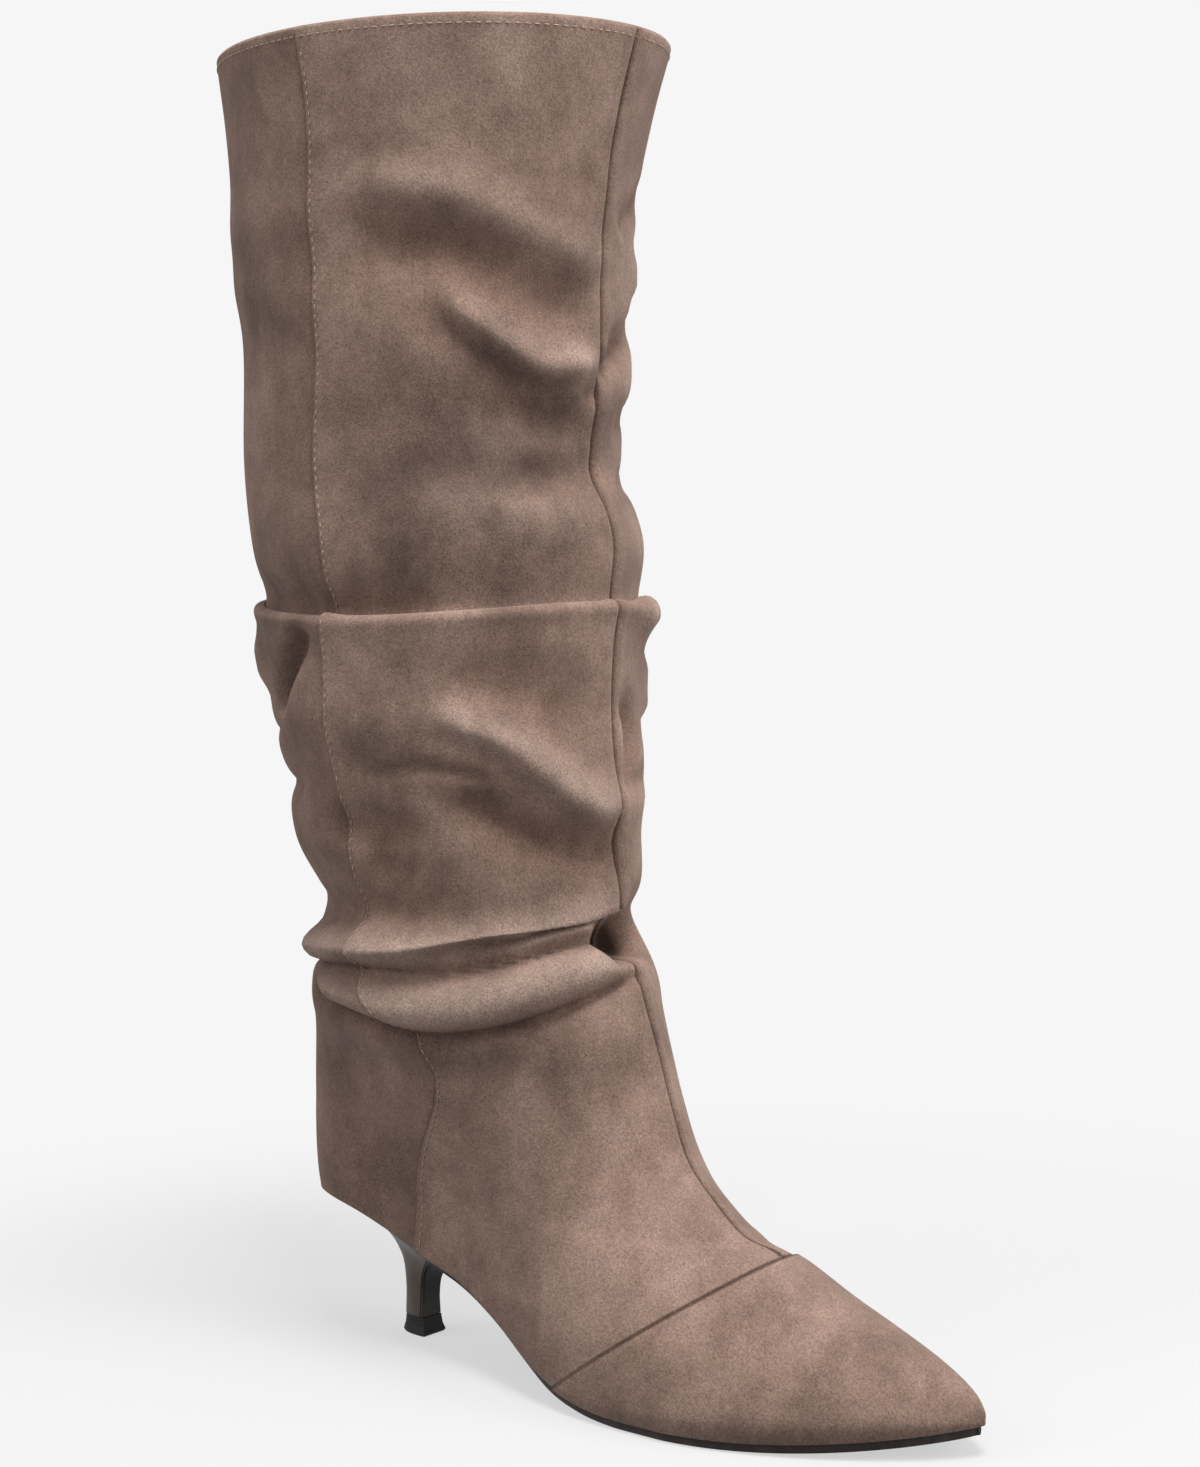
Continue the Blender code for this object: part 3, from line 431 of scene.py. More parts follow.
# name, width, rise, droop, lap, pinch, ends, points
CREASES = (
    # Shaft above the tuck.
    ("collar_band", 7, 2.6, 1.0, 0, 0, 0.25,
     ((-0.257, 21.24), (-0.307, 21.20), (-0.359, 21.14), (-0.397, 20.95), (-0.443, 20.74), (-0.484, 20.60),
      (-0.511, 20.46))),
    ("upper_hollow", 12, -4.4, 0, 0, 0.1, 0.25,
     ((-0.275, 20.88), (-0.304, 20.80), (-0.358, 20.62), (-0.409, 20.44), (-0.453, 20.25), (-0.499, 20.14))),
    ("shoulder_ridge", 5, 4.4, 2.0, 0.6, 0, 0.2,
     ((-0.343, 20.40), (-0.376, 20.12), (-0.407, 19.90), (-0.434, 19.76), (-0.468, 19.77), (-0.498, 19.87))),
    ("under_shoulder", 9, -3.2, 0, 0, 0, 0.25,
     ((-0.320, 20.25), (-0.358, 20.01), (-0.399, 19.71), (-0.446, 19.48), (-0.488, 19.51))),
    ("pucker_fold", 4.5, -3.0, 0, 1.0, 0.4, 0.3, ((-0.490, 19.58), (-0.522, 19.83), (-0.585, 20.06))),
    ("pucker_pit", 3.5, -3.0, 0, 0, 0.4, 0.4, ((-0.474, 19.52), (-0.490, 19.54), (-0.505, 19.58))),
    ("collar_dent", 7, -1.6, 0, 0, 0.1, 0.4, ((-0.430, 21.12), (-0.464, 21.24), (-0.492, 21.40))),
    ("calf_ridge", 9, 2.0, 0, 0, 0, 0.3, ((-0.348, 19.13), (-0.422, 19.03), (-0.515, 19.25))),
    ("calf_hollow", 7, -2.4, 0, 0, 0, 0.3,
     ((-0.362, 19.50), (-0.412, 19.34), (-0.461, 19.23), (-0.523, 19.30))),
    ("calf_shade", 8, -2.6, 0, 0, 0, 0.3, ((-0.404, 18.95), (-0.459, 18.81), (-0.531, 18.96))),
    ("calf_low_ridge", 8, 2.2, 0, 0, 0, 0.3,
     ((-0.318, 18.32), (-0.371, 18.41), (-0.428, 18.32), (-0.507, 18.49))),
    ("above_tuck", 5, -3.0, 0, 0, 0, 0.25,
     ((-0.06, 17.70), (-0.15, 17.62), (-0.240, 17.56), (-0.300, 17.55), (-0.37, 17.62))),
    ("tuck_nub", 6, 4.0, 0, 0, 0, 0.35, ((-0.53, 17.20), (-0.565, 17.22), (-0.61, 17.26))),
    # Between the tuck and the ankle.
    ("rear_pocket", 4, -6.0, 0, 1.5, 0.6, 0.25,
     ((-0.239, 17.09), (-0.208, 16.87), (-0.184, 16.62), (-0.170, 16.39))),
    ("rear_bulge", 7, 3.0, 0, 0, 0, 0.4, ((-0.108, 17.1), (-0.117, 16.85), (-0.117, 16.5))),
    ("rear_crease", 4, -3.4, 0, 0.8, 0.4, 0.3,
     ((-0.06, 16.42), (-0.11, 16.28), (-0.14, 16.16), (-0.19, 16.02))),
    ("rear_crease_low", 5, -3.2, 0, 0.8, 0.3, 0.3,
     ((-0.05, 15.72), (-0.10, 15.66), (-0.15, 15.60), (-0.20, 15.66))),
    ("tier_ridge", 5.5, 5.0, 2.5, 0.6, 0, 0.2,
     ((-0.325, 16.44), (-0.362, 16.38), (-0.396, 16.21), (-0.421, 15.97), (-0.448, 15.70), (-0.475, 15.53),
      (-0.51, 15.46))),
    ("tier_hollow", 10, -3.0, 0, 0, 0, 0.3, ((-0.336, 16.74), (-0.409, 16.63), (-0.487, 16.15))),
    ("faint_line", 2.6, -2.0, 0, 0.8, 0.4, 0.3,
     ((-0.266, 15.81), (-0.320, 15.93), (-0.356, 15.91), (-0.392, 15.79))),
    ("under_tier", 8, -4.8, 0, 0, 0.2, 0.25,
     ((-0.332, 15.66), (-0.369, 15.44), (-0.417, 15.07), (-0.477, 15.02), (-0.52, 15.05))),
    ("rear_hollow", 7, -3.8, 0, 0, 0, 0.3,
     ((-0.22, 15.34), (-0.253, 15.26), (-0.277, 15.19), (-0.307, 15.21), (-0.337, 15.36))),
    ("rear_hollow_low", 7, -3.0, 0, 0, 0, 0.35, ((-0.262, 14.86), (-0.295, 14.69), (-0.317, 14.50))),
    ("inner_bulge", 9, 4.0, 0, 0, 0, 0.3, ((-0.62, 17.0), (-0.615, 16.6), (-0.61, 16.2))),
    # Round the front and on the inner side.
    ("inner_notch_high", 5, -3.4, 0, 1.0, 0.3, 0.3,
     ((-0.62, 21.30), (-0.575, 21.15), (-0.545, 20.98), (-0.53, 20.80))),
    ("inner_swell", 8, 2.2, 0, 0, 0, 0.35, ((-0.60, 20.75), (-0.585, 20.55), (-0.59, 20.35))),
    ("inner_notch_calf", 5, -3.8, 0, 1.2, 0.3, 0.3,
     ((-0.63, 20.20), (-0.575, 20.05), (-0.536, 19.95), (-0.515, 19.79))),
    ("inner_crease_calf", 5, -2.4, 0, 0.6, 0.3, 0.3, ((-0.62, 19.45), (-0.57, 19.36), (-0.53, 19.24))),
    ("inner_crease_low", 5, -2.6, 0, 0.6, 0.3, 0.3, ((-0.62, 18.82), (-0.57, 18.72), (-0.53, 18.60))),
    ("inner_notch_low", 4, -2.4, 0, 0.6, 0.3, 0.3, ((-0.60, 15.80), (-0.56, 15.70), (-0.53, 15.62))),
    ("inner_fold", 5, -4.0, 0, 1.0, 0.3, 0.25,
     ((-0.511, 16.68), (-0.536, 16.31), (-0.532, 15.83), (-0.509, 15.55))),
    # Rolls and swag over the ankle.
    ("ankle_notch", 5, -3.4, 0, 0, 0.2, 0.25,
     ((-0.07, 13.85), (-0.114, 13.83), (-0.209, 13.93), (-0.262, 14.02), (-0.31, 14.10), (-0.36, 14.45))),
    ("upper_roll", 5, 5.0, 1.5, 0, 0, 0.2,
     ((-0.07, 13.32), (-0.117, 13.34), (-0.20, 13.42), (-0.287, 13.46), (-0.328, 13.64), (-0.372, 13.90),
      (-0.427, 14.14), (-0.499, 14.29), (-0.54, 14.4))),
    ("roll_crease", 2.4, -3.6, 0, 1.0, 0.4, 0.25,
     ((-0.350, 13.52), (-0.382, 13.62), (-0.407, 13.79), (-0.437, 13.92), (-0.472, 14.08), (-0.515, 14.22))),
    ("second_roll", 4, 3.4, 1.5, 0, 0, 0.3,
     ((-0.360, 13.46), (-0.406, 13.70), (-0.448, 13.85), (-0.500, 13.91))),
    ("second_line", 2.6, -4.5, 0, 2.0, 0.4, 0.15,
     ((-0.03, 12.70), (-0.097, 12.76), (-0.16, 12.88), (-0.227, 12.93), (-0.276, 12.90), (-0.318, 12.94),
      (-0.352, 13.08), (-0.384, 13.26), (-0.426, 13.50), (-0.473, 13.62), (-0.51, 13.66))),
    ("pocket", 6.5, -15.0, 0, 0, 0.1, 0.30,
     ((-0.455, 13.52), (-0.488, 13.58), (-0.518, 13.60), (-0.56, 13.60))),
    ("swag_ridge", 7, 5.5, 2.5, 0, 0, 0.16,
     ((-0.13, 12.02), (-0.17, 11.96), (-0.212, 11.93), (-0.259, 11.90), (-0.301, 12.05),
      (-0.342, 12.38), (-0.383, 12.78), (-0.428, 13.12), (-0.474, 13.30), (-0.520, 13.34), (-0.56, 13.34))),
    ("swag_under", 3.5, -4.5, 0, 2.2, 0.4, 0.10,
     ((-0.09, 11.58), (-0.138, 11.50), (-0.190, 11.37), (-0.220, 11.28), (-0.245, 11.24),
      (-0.266, 11.24), (-0.290, 11.37), (-0.323, 11.63), (-0.360, 11.93), (-0.407, 12.43), (-0.448, 12.80),
      (-0.481, 13.02), (-0.523, 13.16))),
)


def crease_field(points, normals):
    """How far each point stands out for the creases, and how far it slides along the surface, in metres."""
    out = np.zeros(points.shape[:-1])
    slide = np.zeros(points.shape)
    for _, width, rise, droop, lap, pinch, ends, line in CREASES:
        width, rise, droop, lap = width / 1000, rise / 1000, droop / 1000, lap / 1000
        turns, rings = np.array(line).T
        t = np.linspace(0, 1, CREASE_STEPS)
        places = np.linspace(0, 1, len(line))
        turn = flow(places, turns, t)
        turn = np.where(turn < -0.5, turn + 1, turn)
        path = smooth_skin(flow(places, rings, t), turn)
        reach = CREASE_REACH * width
        near = ((points > path.min(axis=0) - reach) & (points < path.max(axis=0) + reach)).all(axis=-1)
        here = points[near]
        gaps = here[:, None, :] - path[None, :, :]
        far = np.einsum("ijk,ijk->ij", gaps, gaps)
        k = far.argmin(axis=1)
        gap = np.take_along_axis(gaps, k[:, None, None], axis=1)[:, 0]
        run = np.gradient(path, axis=0)[k]
        run /= np.linalg.norm(run, axis=1, keepdims=True)
        left = np.cross(normals[near], run)
        d = (gap * left).sum(axis=1) / width
        off = np.sqrt(np.maximum(far.min(axis=1) - (d * width) ** 2, 0)) / width
        bell = np.exp(-d * d - off * off)
        fade = ramp(t[k] / ends) * ramp((1 - t[k]) / ends)
        out[near] += (rise + LAP_RISE * lap * d) * bell * fade
        slide[near] -= left * ((pinch * width * d + droop) * bell * fade)[:, None]
    return out, slide


def row_places(count, close):
    """Ring places, closer together in the shaft round the heights given."""
    dense = np.linspace(0, TOP_ROW, 1200)
    z = flow(range(TOP_ROW + 1), COLUMNS[1], dense)
    weight = np.where(dense < ANKLE_ROW, FOOT_WEIGHT, np.abs(np.gradient(z, dense)) / SHAFT_ROW_STEP)
    for level, gain, spread in close:
        weight = weight * (1 + gain * np.exp(-(((z - level) / spread) ** 2)))
    total = np.concatenate([[0], np.cumsum((weight[1:] + weight[:-1]) / 2)])
    return np.interp(np.linspace(0, total[-1], count), total, dense)


# Patches painted lighter or darker: partly the nap's own mottling, and partly painted light and shade, as on
# the lit band just below the tuck's lip. Turn and ring of the middle, size in millimetres round and up the
# boot, and how light. First the front panel's shaft, then the foot, then the back panel.
# turn, ring, wide, tall, light
NAP_AND_LIGHT_PATCHES = (
    (-0.40, 22.4, 45, 22, 1.3), (-0.29, 22.3, 30, 22, 0.7), (-0.33, 20.6, 30, 20, 0.4),
    (-0.43, 21.2, 20, 10, 0.3), (-0.25, 21.0, 12, 40, 0.3), (-0.38, 18.9, 42, 30, -1.7),
    (-0.30, 18.2, 25, 12, -0.4), (-0.27, 19.8, 12, 30, 0.25), (-0.28, 17.15, 22, 7, 0.7),
    (-0.36, 17.2, 22, 7, 0.8), (-0.45, 17.25, 20, 7, 0.7), (-0.37, 16.6, 18, 6, 0.3),
    (-0.30, 16.2, 14, 8, -0.4), (-0.43, 4.0, 34, 26, 0.25), (-0.40, 1.6, 16, 12, -0.5),
    (-0.37, 6.0, 30, 22, 0.7), (-0.26, 10.6, 16, 8, -0.5), (-0.36, 10.9, 14, 9, -0.4),
    (-0.48, 11.5, 10, 16, -0.5), (-0.16, 15.5, 14, 20, -0.4), (-0.15, 17.0, 10, 10, -0.4),
    (-0.19, 8.0, 20, 16, 0.35), (-0.12, 10.5, 16, 8, -0.4), (-0.17, 20.6, 8, 40, -0.8),
    (-0.13, 19.0, 8, 30, 0.4), (-0.20, 18.6, 8, 25, -0.5), (-0.20, 21.5, 8, 30, 0.25),
    (-0.17, 11.2, 7, 16, -0.7), (-0.21, 10.4, 5, 12, 0.5), (-0.14, 9.2, 8, 14, -0.5),
    (-0.15, 20.8, 9, 22, -0.6), (-0.19, 19.2, 7, 18, 0.5), (-0.16, 17.6, 8, 16, -0.6),
    (-0.20, 15.6, 6, 12, 0.45),
)


def nap_and_light_field(points):
    """How light each point is painted, for the nap's mottling and for painted light and shade, from dark
    below 0 to light above.
    """
    light = np.zeros(points.shape[:-1])
    for turn, ring, wide, tall, amount in NAP_AND_LIGHT_PATCHES:
        gap = (points - smooth_skin(ring, turn)) * 1000 / np.array([wide, wide, tall])
        light += amount * np.exp(-(gap * gap).sum(axis=-1))
    return light


# Columns: even round the boot, with close ones at the side seams and the front seam.
SEAM_OFFSETS = (0.00012, 0.0007, 0.0016, 0.003)
EVEN_COLUMNS = 232
SEAM_CLEARANCE = 0.0045
even = (np.arange(EVEN_COLUMNS) + 0.5) / EVEN_COLUMNS - 0.5
even = even[np.abs(np.abs(even) - LAP_SHARE) > SEAM_CLEARANCE]
even = even[np.abs(np.abs(even) - 0.5) > SEAM_CLEARANCE]
close = np.concatenate([[seam - o, seam + o] for seam in (-LAP_SHARE, LAP_SHARE) for o in SEAM_OFFSETS])
front = np.concatenate([[-0.5 + o, 0.5 - o] for o in SEAM_OFFSETS])
shares = np.sort(np.concatenate([even, close, front]))
# Rows: close together at the tuck and a little closer at the ankle, as height, how much closer, spread.
OUTER_ROWS = 250
INNER_ROWS = 120
FOOT_WEIGHT = 0.9
SHAFT_ROW_STEP = 0.013
rows = row_places(OUTER_ROWS, ((0.2475, 2.2, 0.012), (0.155, 0.5, 0.03)))
inner_rows = row_places(INNER_ROWS, ((0.2475, 1.5, 0.012), (0.155, 0.6, 0.03)))

# Depths of the outer face: how much sharper the tuck is than in the source, the line of the front seam and
# the soft welts beside it, and the edge of the lap that casts a line.
OUTER_TUCK = 1.25
INNER_TUCK = 0.8
GROOVE_DEPTH = 0.0013
GROOVE_WIDTH = 0.0007
WELT_HEIGHT = 0.0005
WELT_WIDTH = 0.0016
WELT_FROM_SEAM = 0.0028
LAP_LINE = 0.0006


def outer_form(places):
    """Grid of the outer face with its folds and creases, and how far each point stands out for a crease."""
    s, share = np.meshgrid(places, shares, indexing="ij")
    plain = smooth_skin(s, share)
    rise, slide = crease_field(plain, grid_normals(plain))
    tucked = folded(plain, s, share, OUTER_TUCK)
    facing = grid_normals(tucked)
    girth = np.linalg.norm(tucked - np.roll(tucked, 1, axis=1), axis=-1).sum(axis=1)[:, None]
    ahead = (np.abs(share) - LAP_SHARE) * girth
    lift = np.where(ahead > 0, SEAM_STEP * (1 - ramp(ahead / LAP_FADE)), 0)
    seam = (0.5 - np.abs(share)) * girth
    toe_run = (TOE_SEAM_TOP - TOE_SEAM_FOOT).normalized()
    past_toe_seam = (plain - np.array(TOE_SEAM_FOOT)) @ np.array((toe_run.z, 0, -toe_run.x))
    behind_toe_piece = ramp((s - 1.5) / 1.5) * ramp((STEP_RUN - past_toe_seam) / (2 * STEP_RUN))
    stitched = np.exp(-((seam / GROOVE_WIDTH) ** 2))
    welt = np.exp(-(((seam - WELT_FROM_SEAM) / WELT_WIDTH) ** 2))
    groove = (WELT_HEIGHT * welt - GROOVE_DEPTH * stitched) * behind_toe_piece
    made = tucked + slide + facing * (WALL + rise + lift + groove)[..., None]
    # seam_shade: painted shade along the front seam's groove and under the lap's edge.
    line = stitched * behind_toe_piece + np.exp(-(((ahead + LAP_LINE / 2) / LAP_LINE) ** 2))
    return share, made, rise, np.minimum(line, 1)


share, outer, rise, seam_line = outer_form(rows)
normals = grid_normals(outer)

# Inner face: the lining follows the troughs, a little deeper than the suede, and not the ridges. From the
# ring COLLAR_JOIN up it comes out to meet the collar's edge.
TROUGH_ROOM = 1.2
LINING_SETBACK = 0.0010
COLLAR_JOIN = 21.5
JOIN_LENGTH = 1.2
inner_s, inner_share = np.meshgrid(inner_rows, shares, indexing="ij")
inner_plain = smooth_skin(inner_s, inner_share)
inner_rise, inner_slide = crease_field(inner_plain, grid_normals(inner_plain))
inner = folded(inner_plain, inner_s, inner_share, INNER_TUCK)
inner_facing = grid_normals(inner)
set_back = LINING_SETBACK * (1 - ramp((inner_s - COLLAR_JOIN) / JOIN_LENGTH))
inner += inner_slide + inner_facing * (TROUGH_ROOM * np.minimum(inner_rise, 0) - set_back)[..., None]
inner[0] = outer[0] - normals[0] * (1, 1, 0) * WALL
inner[0, :, 2] = outer[0, :, 2] + LASTING_THICKNESS

# Lasting margin: the upper's lower edge, drawn in flat under the insole and cemented there.
spine = outer[0].copy()
spine[:, 0] = np.clip(spine[:, 0], SEAT_WIDTH / 2, LAST_LENGTH - SEAT_WIDTH / 2)
spine[:, 1] = plan_swing(spine[:, 0])
spread = outer[0] - spine
reach = np.linalg.norm(spread[:, :2], axis=1)
margin_edge = spine + spread * (np.maximum(reach - LASTING_MARGIN, LASTING_LEAST * reach) / reach)[:, None]
margin_edge[:, 2] = outer[0, :, 2]
margin_top = margin_edge + (0, 0, LASTING_THICKNESS)

# Collar: the suede turned over the lining in a small round edge.
COLLAR_ROUND = 0.0011
COLLAR_TURNS = (30, 75, 120, 165)
FRAME_SHIFT = np.array([-TREAD_X, 0, 0])
rim = []
for turn_up in COLLAR_TURNS:
    a = math.radians(turn_up)
    middle, reach = (outer[-1] + inner[-1]) / 2, (outer[-1] - inner[-1]) / 2
    rim.append(middle + reach * math.cos(a) + np.array([0, 0, COLLAR_ROUND * math.sin(a)]))
grid = np.concatenate([outer, rim, inner[::-1], [margin_top, margin_edge]])
columns = len(shares)
faces = []
for i in range(len(grid)):
    k = (i + 1) % len(grid)
    for j in range(columns):
        n = (j + 1) % columns
        faces.append((i * columns + j, i * columns + n, k * columns + n, k * columns + j))
upper_mesh = bpy.data.meshes.new("suede_upper")
upper_mesh.from_pydata((grid + FRAME_SHIFT).reshape(-1, 3).tolist(), [], faces)

# What the suede's colour reads off the form, on the outer face alone: how far a point stands out, in
# millimetres, for painted shade in the troughs and painted light on the ridges, which panel it is on, how
# near it is to a seam, for a painted shade line, and where patches of nap tone and painted light lie.
for name, values in (("raised", rise * 1000), ("back_panel", np.abs(share) < LAP_SHARE),
                     ("seam_shade", seam_line), ("nap_light", nap_and_light_field(outer))):
    everywhere = np.zeros(grid.shape[:2], np.float32)
    everywhere[:len(rows)] = values
    layer = upper_mesh.attributes.new(name, "FLOAT", "POINT")
    layer.data.foreach_set("value", everywhere.reshape(-1))
lining_face = np.zeros(len(faces), np.int32)
lining_face[(len(rows) + len(rim)) * columns:] = 1
upper_mesh.polygons.foreach_set("material_index", lining_face)

# Toe seam: cuts close together, then the side of the front panel is lifted over the toe piece.
TOE_CUTS = (-0.0012, 0.0, 0.0004, 0.0013)
TOE_CUT_REACH = 0.03
TOE_CUT_TOP = 0.1
CUT_TOLERANCE = 0.0002
built = bmesh.new()
built.from_mesh(upper_mesh)
built.faces.ensure_lookup_table()
foot = TOE_SEAM_FOOT + Vector(FRAME_SHIFT)
run = (TOE_SEAM_TOP - TOE_SEAM_FOOT).normalized()
ahead = Vector((run.z, 0, -run.x))
near = []
for face in built.faces[:(len(rows) - 1) * columns]:
    middle = face.calc_center_median()
    if abs((middle - foot).dot(ahead)) < TOE_CUT_REACH and middle.z < TOE_CUT_TOP:
        near.append(face)
for shift in TOE_CUTS:
    pieces = set(near)
    for face in near:
        pieces.update(face.edges)
        pieces.update(face.verts)
    cut = bmesh.ops.bisect_plane(built, geom=list(pieces), dist=1e-6, plane_co=foot + ahead * shift,
                                 plane_no=ahead)
    near = [item for item in cut["geom"] if isinstance(item, bmesh.types.BMFace)]
built.normal_update()
cut_faces = set(near)
for vert in {vert for face in near for vert in face.verts}:
    behind = -(vert.co - foot).dot(ahead)
    if -CUT_TOLERANCE < behind < TOE_STEP_FADE:
        facing = vert.normal.copy()
        if any(face not in cut_faces for face in vert.link_faces):
            facing.z = 0
        vert.co += facing.normalized() * SEAM_STEP * (1 - float(ramp(behind / TOE_STEP_FADE)))
bmesh.ops.recalc_face_normals(built, faces=built.faces)
for face in built.faces:
    face.smooth = True
built.to_mesh(upper_mesh)
built.free()
upper = bpy.data.objects.new("suede_upper", upper_mesh)
bpy.context.scene.collection.objects.link(upper)

# Suede, dyed taupe and brushed by hand: no gloss, only a soft pale edge where the nap stands against the
# light, and a marbling in patches about 22 mm across and streaks of about 8 mm. Its fibres are finer than 0.1
# mm and are drawn 0.7 mm coarse, so that they show. Troughs are painted darker as shade, the deepest darker
# still, and ridges are painted paler, partly as rubbed nap and partly as painted light. The seams' edges are
# painted dark as the shade in the front seam's groove, under the lap's edge and along the toe seam.
PATCH_SIZE = 0.022
STREAK_SIZE = 0.008
FIBRE_SIZE = 0.0007
TOE_LINE_TOP = 0.055
TOE_LINE_MIDDLE = 0.0002
suede, tree, shader = new_material("brushed_suede", 0.95, 0.15)
shader.inputs["Sheen Weight"].default_value = 0.35
shader.inputs["Sheen Roughness"].default_value = 0.45
shader.inputs["Sheen Tint"].default_value = (*linear("CDB8AE"), 1)
place = add_node(tree, "TexCoord").outputs["Object"]
upright = add_node(tree, "Mapping", Vector=place, Scale=(1, 1, 0.7)).outputs[0]
patches = add_node(tree, "TexNoise", Vector=place, Scale=1 / PATCH_SIZE, Detail=3.0,
                   Roughness=0.55).outputs["Fac"]
streaks = add_node(tree, "TexNoise", Vector=upright, Scale=1 / STREAK_SIZE, Detail=5.0,
                   Roughness=0.7).outputs["Fac"]
fibres = add_node(tree, "TexNoise", Vector=place, Scale=1 / FIBRE_SIZE, Detail=3.0,
                  Roughness=0.8).outputs["Fac"]
raised, back_panel, seam_shade, nap_light = [
    add_node(tree, "Attribute", {"attribute_name": name}).outputs["Fac"]
    for name in ("raised", "back_panel", "seam_shade", "nap_light")
]
# Nap tone from noise patches and streaks, with the listed patches of nap tone and painted light.
nap_tone_and_light = add_node(tree, "Math", {"operation": "MULTIPLY"}, i0=patches, i1=0.62).outputs[0]
for part, weight in ((streaks, 0.38), (nap_light, 0.16)):
    nap_tone_and_light = add_node(tree, "Math", {"operation": "MULTIPLY_ADD"}, i0=part, i1=weight, i2=nap_tone_and_light).outputs[0]
nap_stops = ((0.12, "725F56"), (0.30, "8A756A"), (0.5, "A68E81"), (0.70, "BCA497"), (0.9, "CFBAAE"))
colour = add_node(tree, "ValToRGB", {"stops": nap_stops}, Fac=nap_tone_and_light).outputs["Color"]

# Painted shade in the troughs and painted light on the ridges, partly rubbed nap, by how far each point
# stands out.
stand = add_node(tree, "MapRange", i0=raised, i1=-5.0, i2=5.0).outputs[0]
fold_light_and_shade_stops = ((0.0, "3C3C3C"), (0.5, "7E7E7E"), (1.0, "C4C4C4"))
fold_light_and_shade = add_node(tree, "ValToRGB", {"stops": fold_light_and_shade_stops}, Fac=stand).outputs["Color"]
# Painted shade, darker still, in the deepest troughs, such as the pocket at the ankle.
painted_deep_shade = add_node(tree, "MapRange", i0=raised, i1=-9.0, i2=-5.5, i3=0.85, i4=0.0).outputs[0]
back_tone = add_node(tree, "Math", {"operation": "MULTIPLY"}, i0=back_panel, i1=0.38).outputs[0]
# Painted shade along the toe seam, where the front panel laps over the toe piece, below TOE_LINE_TOP.
from_foot = add_node(tree, "VectorMath", {"operation": "SUBTRACT"}, i0=place, i1=foot).outputs[0]
past_cut = add_node(tree, "VectorMath", {"operation": "DOT_PRODUCT"}, i0=from_foot, i1=ahead).outputs["Value"]
past_cut = add_node(tree, "Math", {"operation": "SUBTRACT"}, i0=past_cut, i1=TOE_LINE_MIDDLE).outputs[0]
from_cut = add_node(tree, "Math", {"operation": "ABSOLUTE"}, i0=past_cut).outputs[0]
toe_line = add_node(tree, "MapRange", i0=from_cut, i1=0.0004, i2=0.0010, i3=1.4, i4=0.0).outputs[0]
height = add_node(tree, "SeparateXYZ", Vector=place).outputs[2]
on_toe = add_node(tree, "MapRange", i0=height, i1=TOE_LINE_TOP, i2=TOE_LINE_TOP + 0.005, i3=1.0,
                  i4=0.0).outputs[0]
toe_line = add_node(tree, "Math", {"operation": "MULTIPLY"}, i0=toe_line, i1=on_toe).outputs[0]
line = add_node(tree, "Math", {"operation": "MAXIMUM"}, i0=seam_shade, i1=toe_line).outputs[0]
line = add_node(tree, "Math", {"operation": "MULTIPLY"}, i0=line, i1=0.6).outputs[0]
fibre_stops = ((0.3, "484848"), (0.7, "BCBCBC"))
fibre_tone = add_node(tree, "ValToRGB", {"stops": fibre_stops}, Fac=fibres).outputs["Color"]
for kind, amount, tone in (("SOFT_LIGHT", 0.75, fold_light_and_shade), ("MULTIPLY", painted_deep_shade, "5A4A42"),
                           ("MULTIPLY", back_tone, "B4ACAA"), ("MULTIPLY", line, "6A5A50"),
                           ("OVERLAY", 0.7, fibre_tone)):
    colour = add_node(tree, "Mix", {"data_type": "RGBA", "blend_type": kind},
                      i0=amount, i6=colour, i7=tone).outputs[2]
tree.links.new(colour, shader.inputs["Base Color"])
pile = add_node(tree, "Math", {"operation": "MULTIPLY"}, i0=fibres, i1=0.35).outputs[0]
pile = add_node(tree, "Math", {"operation": "MULTIPLY_ADD"}, i0=streaks, i1=0.9, i2=pile).outputs[0]
bump = add_node(tree, "Bump", Height=pile, Distance=0.0012, Strength=0.6)
tree.links.new(bump.outputs[0], shader.inputs["Normal"])
upper_mesh.materials.append(suede)
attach(upper, "root")
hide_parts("upper")


# Stitches. Waxed polyester thread, one row ahead of each lapped side seam and one round the folded collar
# edge, about 3 mm a stitch and pulled a little into the nap.
STITCH_PITCH = 0.0030
STITCH_LENGTH = 0.0021
THREAD_WIDTH = 0.0005
THREAD_SIDES = 6
THREAD_FLATNESS = 0.8
STITCH_RISE = 0.25
TIP_SINK = 0.2
SIDE_ROW = 0.2545
COLLAR_ROW = 0.0028
# place along the stitch, width there
STITCH_SECTIONS = ((-0.34, 0.85), (0.0, 1.0), (0.34, 0.85))


